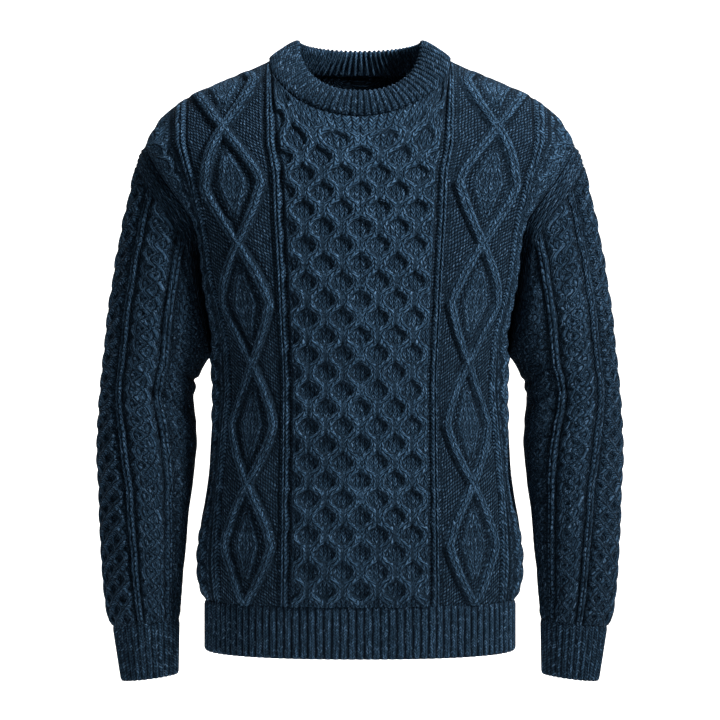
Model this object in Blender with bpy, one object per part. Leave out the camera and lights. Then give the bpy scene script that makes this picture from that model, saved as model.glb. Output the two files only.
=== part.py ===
"""Aran sweater, worn shape with nobody in it: front, back, two sleeves, hem ribs, cuffs and neckband.

Metres, +Z up, the front faces -Y. The origin is midway between the two shoulder seams, where the
shoulders of a wearer carry the garment. Each piece is a wall of knitted cloth: its outer points are
raised into cables, ridges and ribs, and its inner face is plain.
"""
import bmesh
import bpy
import numpy as np

MM = 0.001

# Cloth and seams
WALL = 3.0 * MM  # thickness of the knit between the cables
SEAM_GAP = 0.3 * MM
HALF_GAP = SEAM_GAP / 2

# Heights of the seams
HEM_SEAM = -582 * MM  # the panels meet the hem rib
HEM_EDGE = -641 * MM
UNDERARM = -298 * MM
SHOULDER_TIP = -54 * MM  # top of the armhole
NECK_FRONT = -26 * MM
NECK_BACK = 36 * MM
ROUNDNESS = 2.3  # superellipse exponent of the body's level sections
NECK_CURVE = 1.9

# Armhole
ARMHOLE_DEPTH = 60 * MM  # how far its middle stands in front of and behind the shoulder line
ARMHOLE_MIDDLE = (SHOULDER_TIP + UNDERARM) / 2
ARMHOLE_REACH = (SHOULDER_TIP - UNDERARM) / 2

LEAN_START = 0.3  # above this share of its reach the seam's face leans over
TIP_DIRECTION = (0.35, -0.95)  # sideways and up, across the seam at the shoulder tip

# Body sections, from the hem seam up to the armhole's top. Ridge places are measured from the middle.
BODY_COLUMNS = ("height", "half_width", "inner_ridge", "outer_ridge", "front_depth", "back_depth")
BODY_ROWS = (
    (-582, 177, 86, 164, 119, 111),
    (-560, 184, 86, 165, 125, 117),
    (-538, 186, 85.5, 165, 128, 119),
    (-515, 185.5, 85.5, 164, 128, 118),
    (-491, 182, 85, 163, 127, 116),
    (-468, 178, 85, 162, 126, 115),
    (-430, 173.5, 84.3, 159, 125, 114),
    (-400, 172.5, 84, 156, 124, 114),
    (-374, 171.5, 84, 153, 124, 114),
    (-340, 171, 83.7, 150, 124, 115),
    (-304, 172.5, 84.5, 152, 125, 117),
    (-281, 174, 86, 155, 125, 118),
    (-247, 179, 87.5, 164, 125, 120),
    (-212, 183, 89, 173, 124, 121),
    (-177, 185, 91, 177, 123, 122),
    (-149, 191, 92.7, 181, 121, 122),
    (-133, 200, 93.5, 185, 119, 122),
    (-116, 212, 94, 189, 116.5, 121.5),
    (-97, 226, 95, 193, 113, 120),
    (-80, 237, 97.5, 198, 109, 118),
    (-62, 247, 101, 203, 103, 115),
    (-54, 251, 102, 205, 100, 113),
)
# Above the armhole the sections end at the shoulder line.
YOKE_COLUMNS = ("height", "half_width", "front_depth", "back_depth")
YOKE_ROWS = (
    (-54, 251, 100, 113),
    (-47, 247, 97.5, 111.5),
    (-35, 240, 91, 109),
    (-23, 233, 85, 106),
    (-12, 222, 79, 102),
    (0, 205, 73, 96),
    (12, 182, 66, 89),
    (23, 157, 58, 81),
    (35, 128, 48, 72),
    (46, 104, 37, 62),
    (52, 88, 28, 55),
)
RIDGE_SPREAD = 3 * MM  # the columns of stitches spread by this from the armhole's top to the neck

# How far each row from the top down follows the even spacing of the neck edge
NECK_SLIDE = (1, 0.8, 0.6, 0.4, 0.25, 0.12)

# The knitted layout of half a panel, measured across the flat cloth from the middle
CELL_WIDTH = 42 * MM
CELL_HEIGHT = 40.6 * MM
HONEYCOMB_HALF = 2 * CELL_WIDTH
INNER_RIDGE = 93 * MM
OUTER_RIDGE = 200 * MM
PANEL_EDGE = 245 * MM
DIAMOND_MIDDLE = 147 * MM
DIAMOND_REACH = 36 * MM
DIAMOND_HEIGHT = 137 * MM  # the ribs cross at the hem seam and once each diamond above it
DIAMOND_RIB = 16 * MM
SEED_REACH = 14 * MM
ROPE_MIDDLE = 223 * MM
ROPE_PITCH = 24 * MM
ROPE_REACH = 12 * MM
RIDGE_REACH = 6 * MM
ROWS_A_CELL = 4
LOWER_ROWS = 28  # rows of points from the hem seam to the underarm, as many again above it

# Relief of the cables over the ground
CABLE = 4.5 * MM
CORD_FALL = 2.4  # how fast a honeycomb cord falls off, for each cell of distance
DIAMOND_CABLE = 4.0 * MM
RIDGE = 3.2 * MM
ROPE = 3.5 * MM
SEED_BUMP = 1.6 * MM  # the small lozenge inside each diamond

TOP_FADE = 2  # rows below the top edge over which the cables rise
HEM_FADE = 0.5  # share of their height at the hem seam

# The soft trough down each side of the body
TROUGH_DEPTH = 5 * MM
TROUGH_PLACE = 228 * MM
TROUGH_WIDTH = 12 * MM
TROUGH_HEIGHTS = (-530 * MM, -360 * MM)

# Sleeve: the outer and inner outline of the hanging arm, and its half depth by the share of its length
SLEEVE_OUTER_COLUMNS = ("height", "reach")
SLEEVE_OUTER = (
    (-54, 251), (-70, 258), (-94, 262.5), (-117, 267), (-140, 273), (-164, 277), (-187, 282),
    (-211, 285), (-234, 289), (-257, 292), (-281, 294), (-304, 296.5), (-340, 300), (-374, 302.5),
    (-415, 303.5), (-456, 301), (-491, 300), (-526, 299), (-561, 298), (-590, 294), (-612, 287.5),
    (-632, 283.5), (-655, 280), (-680, 277),
)
SLEEVE_INNER_COLUMNS = ("height", "reach")
SLEEVE_INNER = (
    (-298, 178), (-310, 183), (-320, 187.5), (-330, 191), (-340, 194), (-351, 196.5), (-363, 196),
    (-380, 194.5), (-398, 196), (-420, 199.5), (-445, 201), (-480, 205), (-515, 207.5), (-550, 211),
    (-585, 213), (-608, 214), (-640, 214), (-680, 214),
)
SLEEVE_LENGTH_COLUMNS = ("share", "outer_height", "inner_height", "half_depth", "forward")
SLEEVE_LENGTH = (
    (0.00, -54, -298, 60, 0), (0.10, -110, -303, 61, 0), (0.20, -166, -309, 61, 0),
    (0.30, -221, -317, 60, 0), (0.40, -277, -330, 59, 1), (0.50, -333, -348, 57, 2),
    (0.56, -367, -369, 56, 3), (0.70, -445, -440, 53, 6), (0.85, -528, -521, 47, 10),
    (0.95, -584, -577, 41, 13), (1.00, -612, -604, 35, 15),
)
ARMHOLE_BLEND = 0.38  # share of the sleeve's length over which it takes on the armhole's curve
CUFF_EDGE = (-677 * MM, -669 * MM)  # heights of its outer and inner end
CUFF_HALF_DEPTH = 28 * MM
OUTER_LENGTH = 560 * MM  # along the sleeve's outer line
SLEEVE_ROWS = 30
BAND_RIBS = (6 * MM, 12 * MM, 18 * MM, 24 * MM)  # rows of the ribbed band along the armhole
BAND_END = 0.06  # share of the length where the cabled rows begin
INNER_SLEEVE_ROWS = (1, 3, 4, 5, 7, 10, 14, 18, 22, 26, 30, -1)  # rows that the plain inside keeps
UNDERARM_SHARES = (0.38, 0.50)  # the relief under the arm rises between these shares of the length
UNDERARM_FADE = 40  # degrees over which it is gone above them
ARMHOLE_CREASE = 10 * MM  # how deep the sleeve folds in beside the body
CREASE_SHARE = 0.06
CREASE_WIDTH = 0.034
CREASE_ANGLES = (50, 90, 135, 165)  # it deepens between the first two and dies out between the others
# Places round the sleeve in degrees from its outer line
LATTICE_STEP = 15
LATTICE_EDGE = 46
SLEEVE_RIDGE_ANGLES = (63, 98)
SLEEVE_RIDGE_REACH = 4
BRAID_ANGLE = 81
BRAID_REACH = 9
SEED_STEP = 25
SEED_EDGE = 120
SLEEVE_ANGLES = (0, 15, 30, 45, 57, 63, 70, 81, 92, 98, 106, 130, 155, 180)

# Ribs
RIB = 2.2 * MM
HEM_RIBS = 50  # on each panel
CUFF_RIBS = 30
COLLAR_RIBS = 80
RIB_START = 5 * MM  # below the seam, where the ribs have their full height

# Neckband: where its folded top edge runs
COLLAR_HALF_WIDTH = 72 * MM
COLLAR_FRONT = (78 * MM, 2 * MM)  # depth and height of the top edge
COLLAR_BACK = (58 * MM, 63 * MM)
COLLAR_SIDE = 68 * MM
COLLAR_RISE = 1.15  # how the edge climbs from the middle to the sides
# Layers of the fold: the share of the way from the seam to the top edge, and millimetres outward
COLLAR_OUTSIDE = ((0.16, 3.6), (0.55, 4.6), (0.90, 2.6))
COLLAR_INSIDE = ((0.14, -4.4), (0.60, -4.6), (0.95, -2.6))


def table(columns, rows, unit=MM, plain=("share",)):
    """A small table as a dictionary of arrays, in metres but for its plain columns."""
    values = np.array(rows, dtype=float).T
    return {name: v if name in plain else v * unit for name, v in zip(columns, values)}


BODY = table(BODY_COLUMNS, BODY_ROWS)
YOKE = table(YOKE_COLUMNS, YOKE_ROWS)
ARM_OUTER = table(SLEEVE_OUTER_COLUMNS, SLEEVE_OUTER)
ARM_INNER = table(SLEEVE_INNER_COLUMNS, SLEEVE_INNER)
ARM = table(SLEEVE_LENGTH_COLUMNS, SLEEVE_LENGTH)


def smooth(x, xs, ys):
    """Value at x of a smooth curve through the table, with no overshoot between its rows."""
    order = np.argsort(xs)
    xs, ys = np.asarray(xs)[order], np.asarray(ys)[order]
    x = np.clip(x, xs[0], xs[-1])
    step = np.diff(xs)
    slope = np.diff(ys) / step
    tangent = np.zeros(len(xs))
    turning = slope[1:] * slope[:-1] <= 0
    mean = 2 * slope[1:] * slope[:-1] / (slope[1:] + slope[:-1] + turning)
    tangent[1:-1] = np.where(turning, 0, mean)
    tangent[0], tangent[-1] = slope[0], slope[-1]
    k = np.clip(np.searchsorted(xs, x) - 1, 0, len(step) - 1)
    t = (x - xs[k]) / step[k]
    h = step[k]
    return (ys[k] * (1 + 2 * t) * (1 - t) ** 2 + h * tangent[k] * t * (1 - t) ** 2
            + ys[k + 1] * t ** 2 * (3 - 2 * t) + h * tangent[k + 1] * t ** 2 * (t - 1))


def unit(v):
    return v / np.linalg.norm(v, axis=-1, keepdims=True)


def seam_depth(z):
    """How far the armhole seam stands in front of the shoulder line at a height; 0 below it."""
    share = np.clip((z - ARMHOLE_MIDDLE) / ARMHOLE_REACH, -1, 1)
    return ARMHOLE_DEPTH * np.sqrt(1 - share ** 2)


def body_depth(x, z, side):
    """Depth of the body's surface at x and height z; side is "front" or "back"."""
    low = z <= SHOULDER_TIP
    half = np.where(low, smooth(z, BODY["height"], BODY["half_width"]),
                    smooth(z, YOKE["height"], YOKE["half_width"]))
    middle = np.where(low, smooth(z, BODY["height"], BODY[side + "_depth"]),
                      smooth(z, YOKE["height"], YOKE[side + "_depth"]))
    share = np.clip(np.abs(x) / half, 0, 1) ** ROUNDNESS
    edge = np.where(low, seam_depth(z), 0)
    return (middle ** ROUNDNESS * (1 - share) + edge ** ROUNDNESS * share) ** (1 / ROUNDNESS)


def stitch_column(q, z):
    """Distance from the middle plane of the stitches at q on the flat cloth, at height z."""
    low = min(z, SHOULDER_TIP)
    half = smooth(low, BODY["height"], BODY["half_width"])
    x = half * np.sin(np.linspace(0, np.pi / 2, 61))
    y = (body_depth(x, low, "front") + body_depth(x, low, "back")) / 2
    along = np.concatenate(([0], np.cumsum(np.hypot(np.diff(x), np.diff(y)))))
    marks = [0] + [np.interp(smooth(low, BODY["height"], BODY[name]), x, along)
                   for name in ("inner_ridge", "outer_ridge")] + [along[-1]]
    place = np.interp(np.interp(q, (0, INNER_RIDGE, OUTER_RIDGE, PANEL_EDGE), marks), along, x)
    spread = RIDGE_SPREAD * max(z - SHOULDER_TIP, 0) / (YOKE["height"][-1] - SHOULDER_TIP)
    return place + spread * min(q / INNER_RIDGE, 1)


def shoulder_line(x):
    return smooth(x, YOKE["half_width"], YOKE["height"])


def neckline(x, corner, side):
    """Height of the neck edge at x, between the two corners where the shoulder seams end."""
    top = shoulder_line(corner)
    drop = top - (NECK_FRONT if side == "front" else NECK_BACK)
    curve = NECK_CURVE if side == "front" else 2
    return top - drop * (1 - np.clip(np.abs(x) / corner, 0, 1) ** curve) ** (1 / curve)


def column_top(q, side, corner):
    """Height where a column of stitches ends, at the neck edge or the shoulder seam."""
    z = SHOULDER_TIP
    for _ in range(40):
        x = stitch_column(q, z)
        z = shoulder_line(x) if q >= INNER_RIDGE else neckline(x, corner, side)
    return float(z)


def neck_corner():
    """Distance from the middle of the point where the shoulder seam meets the neck edge."""
    return stitch_column(INNER_RIDGE, column_top(INNER_RIDGE, "front", None))


def body_column(q, side, corner):
    """Points up one column of stitches, and how far up the cloth each is from the hem seam."""
    row = (UNDERARM - HEM_SEAM) / LOWER_ROWS
    lower = HEM_SEAM + row * np.arange(LOWER_ROWS)
    top = SHOULDER_TIP if q >= PANEL_EDGE else column_top(q, side, corner)
    fine = UNDERARM + (top - UNDERARM) * (1 - np.cos(np.linspace(0, np.pi, 241))) / 2
    x = np.array([stitch_column(q, z) for z in fine])
    y = body_depth(x, fine, side)
    if INNER_RIDGE <= q < PANEL_EDGE:
        y[-1] = 0
    steps = np.sqrt(np.diff(x) ** 2 + np.diff(y) ** 2 + np.diff(fine) ** 2)
    along = np.concatenate(([0], np.cumsum(steps)))
    share = np.arange(LOWER_ROWS + 1) / LOWER_ROWS
    wanted = share * LOWER_ROWS * row + (along[-1] - LOWER_ROWS * row) * share ** 3
    z = np.interp(wanted, along, fine)
    upper = np.column_stack((np.interp(wanted, along, x), np.interp(wanted, along, y), z))
    x_low = np.array([stitch_column(q, h) for h in lower])
    low = np.column_stack((x_low, body_depth(x_low, lower, side), lower))
    up = np.concatenate((lower - HEM_SEAM, UNDERARM - HEM_SEAM + wanted))
    return np.vstack((low, upper)), up


def wave_ridge(distance, width):
    return np.clip(1 - np.abs(distance) / width, 0, 1)


def body_relief(q, up):
    """Height of cables, ridges and ropes over the ground, on the flat cloth of a panel."""
    q = np.abs(q)
    cell_x, cell_y = q / CELL_WIDTH, up / CELL_HEIGHT
    lines = [np.abs((cell_x + way * cell_y + 0.5) % 1 - 0.5) for way in (1, -1)]
    honeycomb = CABLE * np.clip(1 - CORD_FALL * np.minimum(*lines), 0, 1) * (q <= HONEYCOMB_HALF + 1e-6)
    turn = 1 - np.abs(2 * (up / DIAMOND_HEIGHT % 1) - 1)
    cross = [DIAMOND_MIDDLE + way * DIAMOND_REACH * turn for way in (1, -1)]
    diamond = DIAMOND_CABLE * np.maximum(*[wave_ridge(q - c, DIAMOND_RIB) for c in cross])
    inside = np.clip(turn * 2 - 1, 0, 1) * wave_ridge(q - DIAMOND_MIDDLE, SEED_REACH)
    diamond = np.maximum(diamond, SEED_BUMP * inside)
    inner, outer = (wave_ridge(q - place, RIDGE_REACH) for place in (INNER_RIDGE, OUTER_RIDGE))
    ridges = RIDGE * np.maximum(inner, outer)
    twist = 0.75 + 0.25 * np.cos(2 * np.pi * up / ROPE_PITCH)
    rope = ROPE * wave_ridge(q - ROPE_MIDDLE, ROPE_REACH) * twist
    return honeycomb + diamond + ridges + rope


def side_trough(q, z):
    """Depth of the long soft fold that runs down each side of the body."""
    low, high = TROUGH_HEIGHTS
    along = np.clip((z - low) / (high - low), 0, 1)
    across = np.exp(-((np.abs(q) - TROUGH_PLACE) / TROUGH_WIDTH) ** 2)
    return TROUGH_DEPTH * np.sin(np.pi * along) ** 2 * across


def grid_normals(points, closed=False):
    """Outward direction at each point of a grid of rows; a closed grid's columns run round."""
    wrapped = np.concatenate((points[:, -1:], points, points[:, :1]), axis=1) if closed else points
    across = np.gradient(wrapped, axis=1)
    across = across[:, 1:-1] if closed else across
    return unit(np.cross(across, np.gradient(points, axis=0)))


def armhole_face(points, sign):
    """Directions at the armhole edge: outward from the cloth, and across the seam to the sleeve."""
    share = np.clip((points[:, 2] - ARMHOLE_MIDDLE) / ARMHOLE_REACH, -1, 1)
    lean = np.clip((share - LEAN_START) / (1 - LEAN_START), 0, 1)
    side, down = TIP_DIRECTION
    across = unit(np.column_stack((1 + (side - 1) * lean, 0 * lean, down * lean)))
    along = unit(np.gradient(points, axis=0))
    outward = unit(np.cross(along, across)) * sign
    return outward, across


def half_layout():
    """Places of the columns of points on half a panel, one on each ridge and quarter cell."""
    honeycomb = np.arange(0, 2 * ROWS_A_CELL + 1) * CELL_WIDTH / ROWS_A_CELL
    diamonds = np.linspace(INNER_RIDGE + 9 * MM, OUTER_RIDGE - 8 * MM, 5)
    return np.concatenate((honeycomb, [INNER_RIDGE], diamonds,
                           [OUTER_RIDGE, OUTER_RIDGE + 8 * MM, ROPE_MIDDLE, PANEL_EDGE]))


INNER_STEP = 4  # the plain inside takes one point in four
HALF = half_layout()
INNER_COLUMNS = (0, 2, 4, 6, 8, 9, 13, 16, len(HALF) - 1)


def body_panel(side):
    """Outer and inner points of a panel, as rows from the hem seam up, and its relief."""
    corner = neck_corner()
    columns = [body_column(q, side, corner) for q in HALF]
    right = np.stack([c[0] for c in columns], axis=1)
    up = np.stack([c[1] for c in columns], axis=1)
    right = even_neck(right, corner, side)
    right[..., 1] = -right[..., 1]
    normal = grid_normals(right)
    normal[:, 0, 0] = 0
    normal[:LOWER_ROWS + 1, -1, 1] = 0
    shoulder = HALF >= INNER_RIDGE
    slope = np.gradient(right[-1, shoulder], axis=0)
    normal[-1, shoulder] = np.column_stack((-slope[:, 2], 0 * slope[:, 0], slope[:, 0]))
    normal = unit(normal)
    q = np.broadcast_to(HALF, up.shape)
    relief = body_relief(q, up)
    fade = np.clip(np.arange(len(up))[::-1] / TOP_FADE, 0, 1)[:, None]
    relief = relief * fade - side_trough(q, right[..., 2])
    relief[0] *= HEM_FADE
    outer = right + normal * relief[..., None]
    edge = slice(LOWER_ROWS, None)
    outward, across = armhole_face(right[edge, -1], -1)
    inner = right - normal * WALL
    inner[edge, -1] = right[edge, -1] - outward * WALL
    outer[edge, -1] = right[edge, -1]
    for points in (outer, inner):
        points[:LOWER_ROWS + 1, -1, 1] = -HALF_GAP
        points[-1, shoulder, 1] = -HALF_GAP
    seam = (outer[edge, -1].copy(), inner[edge, -1].copy(), across)
    full = [np.concatenate((mirrored(p)[:, :0:-1], p), axis=1) for p in (outer, inner)]
    heights = np.concatenate((relief[:, :0:-1], relief), axis=1)
    if side == "back":
        full = [p * (1, -1, 1) for p in full]
        seam = (seam[0] * (1, -1, 1), seam[1] * (1, -1, 1), across)
    return full[0], full[1], heights, seam


def mirrored(points):
    return points * np.array((-1, 1, 1))


def even_neck(right, corner, side):
    """Slide the ends of the columns along the neck edge until they are evenly spaced."""
    last = int(np.argmin(np.abs(HALF - INNER_RIDGE)))
    x = corner * np.sin(np.linspace(0, np.pi / 2, 121))
    z = neckline(x, corner, side)
    edge = np.column_stack((x, body_depth(x, z, side), z))
    edge[-1, 1] = 0
    along = np.concatenate(([0], np.cumsum(np.linalg.norm(np.diff(edge, axis=0), axis=1))))
    wanted = np.linspace(0, along[-1], last + 1)
    even = np.column_stack([np.interp(wanted, along, edge[:, k]) for k in (0, 2)])
    shift = even - right[-1, :last + 1][:, (0, 2)]
    for row, weight in enumerate(NECK_SLIDE, start=1):
        right[-row, :last, 0] += weight * shift[:last, 0]
        right[-row, :last, 2] += weight * shift[:last, 1]
        right[-row, :last, 1] = body_depth(right[-row, :last, 0], right[-row, :last, 2], side)
    return right


def inner_pick():
    last = len(HALF) - 1
    return sorted({last + way * c for c in INNER_COLUMNS for way in (1, -1)})


def arm_point(share, angle):
    """Sleeve surface at a share of its length and an angle from its outer line, in degrees."""
    theta = np.radians(angle)
    outer_z = smooth(share, ARM["share"], ARM["outer_height"])
    inner_z = smooth(share, ARM["share"], ARM["inner_height"])
    half_depth = smooth(share, ARM["share"], ARM["half_depth"])
    forward = smooth(share, ARM["share"], ARM["forward"])
    outer_x = smooth(outer_z, ARM_OUTER["height"], ARM_OUTER["reach"])
    inner_x = smooth(inner_z, ARM_INNER["height"], ARM_INNER["reach"])
    across = np.cos(theta)
    x = (outer_x + inner_x) / 2 + (outer_x - inner_x) / 2 * across
    z = (outer_z + inner_z) / 2 + (outer_z - inner_z) / 2 * across
    seam_z = ARMHOLE_MIDDLE + ARMHOLE_REACH * across
    chord = (ARM_OUTER["reach"][0] + ARM_INNER["reach"][0]) / 2
    chord = chord + (ARM_OUTER["reach"][0] - ARM_INNER["reach"][0]) / 2 * across
    inset = smooth(seam_z, BODY["height"], BODY["half_width"]) - chord
    x = x + inset * np.clip(1 - share / ARMHOLE_BLEND, 0, 1) ** 2
    a = np.abs((angle + 180) % 360 - 180)
    crease = ARMHOLE_CREASE * np.exp(-((share - CREASE_SHARE) / CREASE_WIDTH) ** 2)
    crease = crease * np.clip(2 * share / CREASE_SHARE, 0, 1) * np.interp(a, CREASE_ANGLES, (0, 1, 1, 0))
    y = -(half_depth - crease) * np.sin(theta) - forward
    return np.stack(np.broadcast_arrays(x, y, z), axis=-1)


def sleeve_relief(angle, row):
    """Lattice down the outer line, two ridges and a braid on each side, seeds under the arm."""
    a = np.abs((angle + 180) % 360 - 180)
    lattice = ((np.round(a / LATTICE_STEP) + row) % 2 == 0) * (a <= LATTICE_EDGE)
    ridges = np.maximum(*[wave_ridge(a - r, SLEEVE_RIDGE_REACH) for r in SLEEVE_RIDGE_ANGLES])
    braid = wave_ridge(a - BRAID_ANGLE, BRAID_REACH) * (0.7 + 0.3 * (-1.0) ** row)
    seed = ((row + np.round(a / SEED_STEP)) % 2) * (a > SEED_EDGE)
    return DIAMOND_CABLE * lattice + RIDGE * ridges + ROPE * braid + SEED_BUMP * seed


def sleeve(seams):
    """Rows of outer and inner points of the right sleeve, from the armhole seam to the cuff seam."""
    (front_outer, front_inner, across), (back_outer, back_inner, _) = seams
    ring_outer = np.vstack((front_outer[::-1], back_outer[1:-1]))
    ring_inner = np.vstack((front_inner[::-1], back_inner[1:-1]))
    ring_across = np.vstack((across[::-1], across[1:-1]))
    middle = (0, len(front_outer) - 1)
    for ring in (ring_outer, ring_inner):
        ring[list(middle), 1] = 0
        ring += ring_across * SEAM_GAP
    half = np.array(SLEEVE_ANGLES, dtype=float)
    angles = np.concatenate((half, 360 - half[-2:0:-1]))
    band = np.array(BAND_RIBS) / OUTER_LENGTH
    reach = np.concatenate((band, np.linspace(BAND_END, 1, SLEEVE_ROWS)))
    points = np.stack([arm_point(s, angles) for s in reach])
    normal = grid_normals(points, closed=True)
    rows = np.arange(len(reach)) - len(BAND_RIBS)
    relief = sleeve_relief(angles[None], rows[:, None])
    relief[:len(BAND_RIBS)] = np.array([RIDGE, 0, RIDGE, 0])[:, None]
    a = np.abs((angles + 180) % 360 - 180)
    below = np.clip((a - SEED_EDGE) / UNDERARM_FADE, 0, 1)
    relief = relief * (1 - below[None] * np.interp(reach, UNDERARM_SHARES, (1, 0))[:, None])
    relief[-1] = 0
    points[-1] += np.array((0, 0, HALF_GAP))
    outer = points + normal * relief[..., None]
    inner = points - normal * WALL
    outer_rows = [ring_outer] + list(outer)
    inner_rows = [ring_inner[::INNER_STEP]] + [inner[row][::2] for row in INNER_SLEEVE_ROWS]
    heights = [np.zeros(len(ring_outer))] + list(relief)
    return outer_rows, inner_rows, heights


def cuff(outer_top, inner_top):
    """Ribbed tube below the sleeve, tapering to its edge; its first row lies on the sleeve's seam."""
    gap = np.array((0, 0, SEAM_GAP))
    turns = 2 * CUFF_RIBS
    angles = np.arange(turns) * 360 / turns
    top, low = arm_point(1.0, angles), cuff_edge(angles)
    start = RIB_START / np.linalg.norm(top[0] - low[0])
    rows = np.stack((top + (low - top) * start, low))
    out = grid_normals(rows, closed=True)
    wave = RIB * (np.arange(turns) % 2)
    outer = rows + out * wave[None, :, None]
    inner = low - out[1] * (WALL - 1 * MM)
    outer_rows = [outer_top - gap, outer[0], outer[1]]
    inner_rows = [inner_top - gap, inner[::2]]
    heights = [np.zeros(len(outer_top)), wave, wave]
    return outer_rows, inner_rows, heights


def cuff_edge(angles):
    theta = np.radians(angles)
    outer_z, inner_z = CUFF_EDGE
    outer_x = smooth(outer_z, ARM_OUTER["height"], ARM_OUTER["reach"])
    inner_x = smooth(inner_z, ARM_INNER["height"], ARM_INNER["reach"])
    x = (outer_x + inner_x) / 2 + (outer_x - inner_x) / 2 * np.cos(theta)
    z = (outer_z + inner_z) / 2 + (outer_z - inner_z) / 2 * np.cos(theta)
    y = -CUFF_HALF_DEPTH * np.sin(theta) - ARM["forward"][-1]
    return np.column_stack((x, y, z))


def hem(outer_top, inner_top, side):
    """Ribbed band below a panel; its first row lies on the panel's seam."""
    flip = -1 if side == "front" else 1
    count = 2 * HEM_RIBS + 1
    q = np.linspace(-PANEL_EDGE, PANEL_EDGE, count)
    x = np.sign(q) * [stitch_column(abs(v), HEM_SEAM) for v in q]
    y = flip * body_depth(np.abs(x), np.full(count, HEM_SEAM), side)
    flat = np.column_stack((x, y, np.zeros(count)))
    rows = np.stack((flat, flat))
    rows[0, :, 2], rows[1, :, 2] = HEM_SEAM - RIB_START, HEM_EDGE
    out = grid_normals(rows)
    out = out * np.sign(np.sum(out * flat[None], axis=-1, keepdims=True))
    wave = RIB * (np.arange(count) % 2)
    outer = rows + out * wave[None, :, None]
    inner = rows[1] - out[1] * (WALL - 1 * MM)
    for points in (outer, inner[None]):
        points[:, (0, -1), 1] = flip * HALF_GAP
    gap = np.array((0, 0, SEAM_GAP))
    outer_rows = [outer_top - gap, outer[0], outer[1]]
    inner_rows = [inner_top - gap, inner[::2]]
    heights = [np.zeros(len(outer_top)), wave, wave]
    return outer_rows, inner_rows, heights


def collar_station(turn):
    """Seam point, top-edge point and outward direction of the neckband at a turn from the front."""
    side = "front" if np.cos(turn) >= 0 else "back"
    flip = -1 if side == "front" else 1
    corner = neck_corner()
    x = corner * np.sin(turn)
    z = neckline(x, corner, side)
    depth, height = COLLAR_FRONT if side == "front" else COLLAR_BACK
    along = abs(np.cos(turn))
    foot = np.array((x, flip * body_depth(abs(x), z, side) * (along > 1e-6), z))
    top = np.array((COLLAR_HALF_WIDTH * np.sin(turn), flip * depth * along,
                    height + (COLLAR_SIDE - height) * (1 - along) ** COLLAR_RISE))
    return foot, top


def seam_lift(turns):
    """The gap at the neck seam, along the neckband's rise."""
    stations = [collar_station(t * 2 * np.pi) for t in turns]
    return SEAM_GAP * unit(np.array([top - foot for foot, top in stations]))


def collar(neck_outer, neck_inner, outer_turns, inner_turns):
    """Folded double rib round the neck: a closed band whose foot lies on the neck seam."""
    turns = 2 * COLLAR_RIBS
    turn = np.arange(turns) * 2 * np.pi / turns
    stations = [collar_station(t) for t in turn]
    foot, top = (np.array([s[k] for s in stations]) for k in (0, 1))
    rise = top - foot
    around = np.roll(foot, -1, axis=0) - np.roll(foot, 1, axis=0)
    out = unit(np.cross(around, rise))
    wave = RIB * (np.arange(turns) % 2)
    outside = [foot + rise * s + out * (d * MM + wave)[:, None] for s, d in COLLAR_OUTSIDE]
    inside = [foot + rise * s + out * (d * MM) for s, d in COLLAR_INSIDE]
    tip = top + out * (wave / 2)[:, None]
    outer_rows = [neck_outer + seam_lift(outer_turns)] + outside + [tip]
    inner_rows = [neck_inner + seam_lift(inner_turns)] + [row[::2] for row in inside]
    heights = [np.zeros(len(neck_outer))] + [wave] * (len(outside) + 1)
    round_band = turn / (2 * np.pi)
    place = [outer_turns] + [round_band] * (len(outside) + 1)
    place += [inner_turns] + [round_band[::2]] * len(inside)
    return outer_rows, inner_rows, heights, np.concatenate(place)


def shares(points, row):
    """How far along a row each of its points lies, from 0 to 1."""
    steps = np.linalg.norm(np.diff(points[row], axis=0), axis=1)
    return np.concatenate(([0], np.cumsum(steps))) / np.sum(steps)


def strip(points, a, b, closed, high, place=None):
    """Triangles between two rows of points, whose counts may differ.

    Points are paired by how far along their row they lie, or by their place round a band."""
    if closed:
        a, b = list(a) + [a[0]], list(b) + [b[0]]
    faces = []
    n, m = len(a) - 1, len(b) - 1
    if n == m:
        for k in range(n):
            if high[a[k]] + high[b[k + 1]] > high[a[k + 1]] + high[b[k]]:
                faces += [(a[k], a[k + 1], b[k + 1]), (a[k], b[k + 1], b[k])]
            else:
                faces += [(a[k], a[k + 1], b[k]), (a[k + 1], b[k + 1], b[k])]
        return faces
    if place is None:
        along_a, along_b = shares(points, a), shares(points, b)
    else:
        along_a, along_b = np.append(place[a[:-1]], 1), np.append(place[b[:-1]], 1)
    i = j = 0
    while i < n or j < m:
        if j == m or (i < n and along_a[i] + along_a[i + 1] <= along_b[j] + along_b[j + 1]):
            faces.append((a[i], a[i + 1], b[j]))
            i += 1
        else:
            faces.append((a[i], b[j + 1], b[j]))
            j += 1
    return faces


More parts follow.
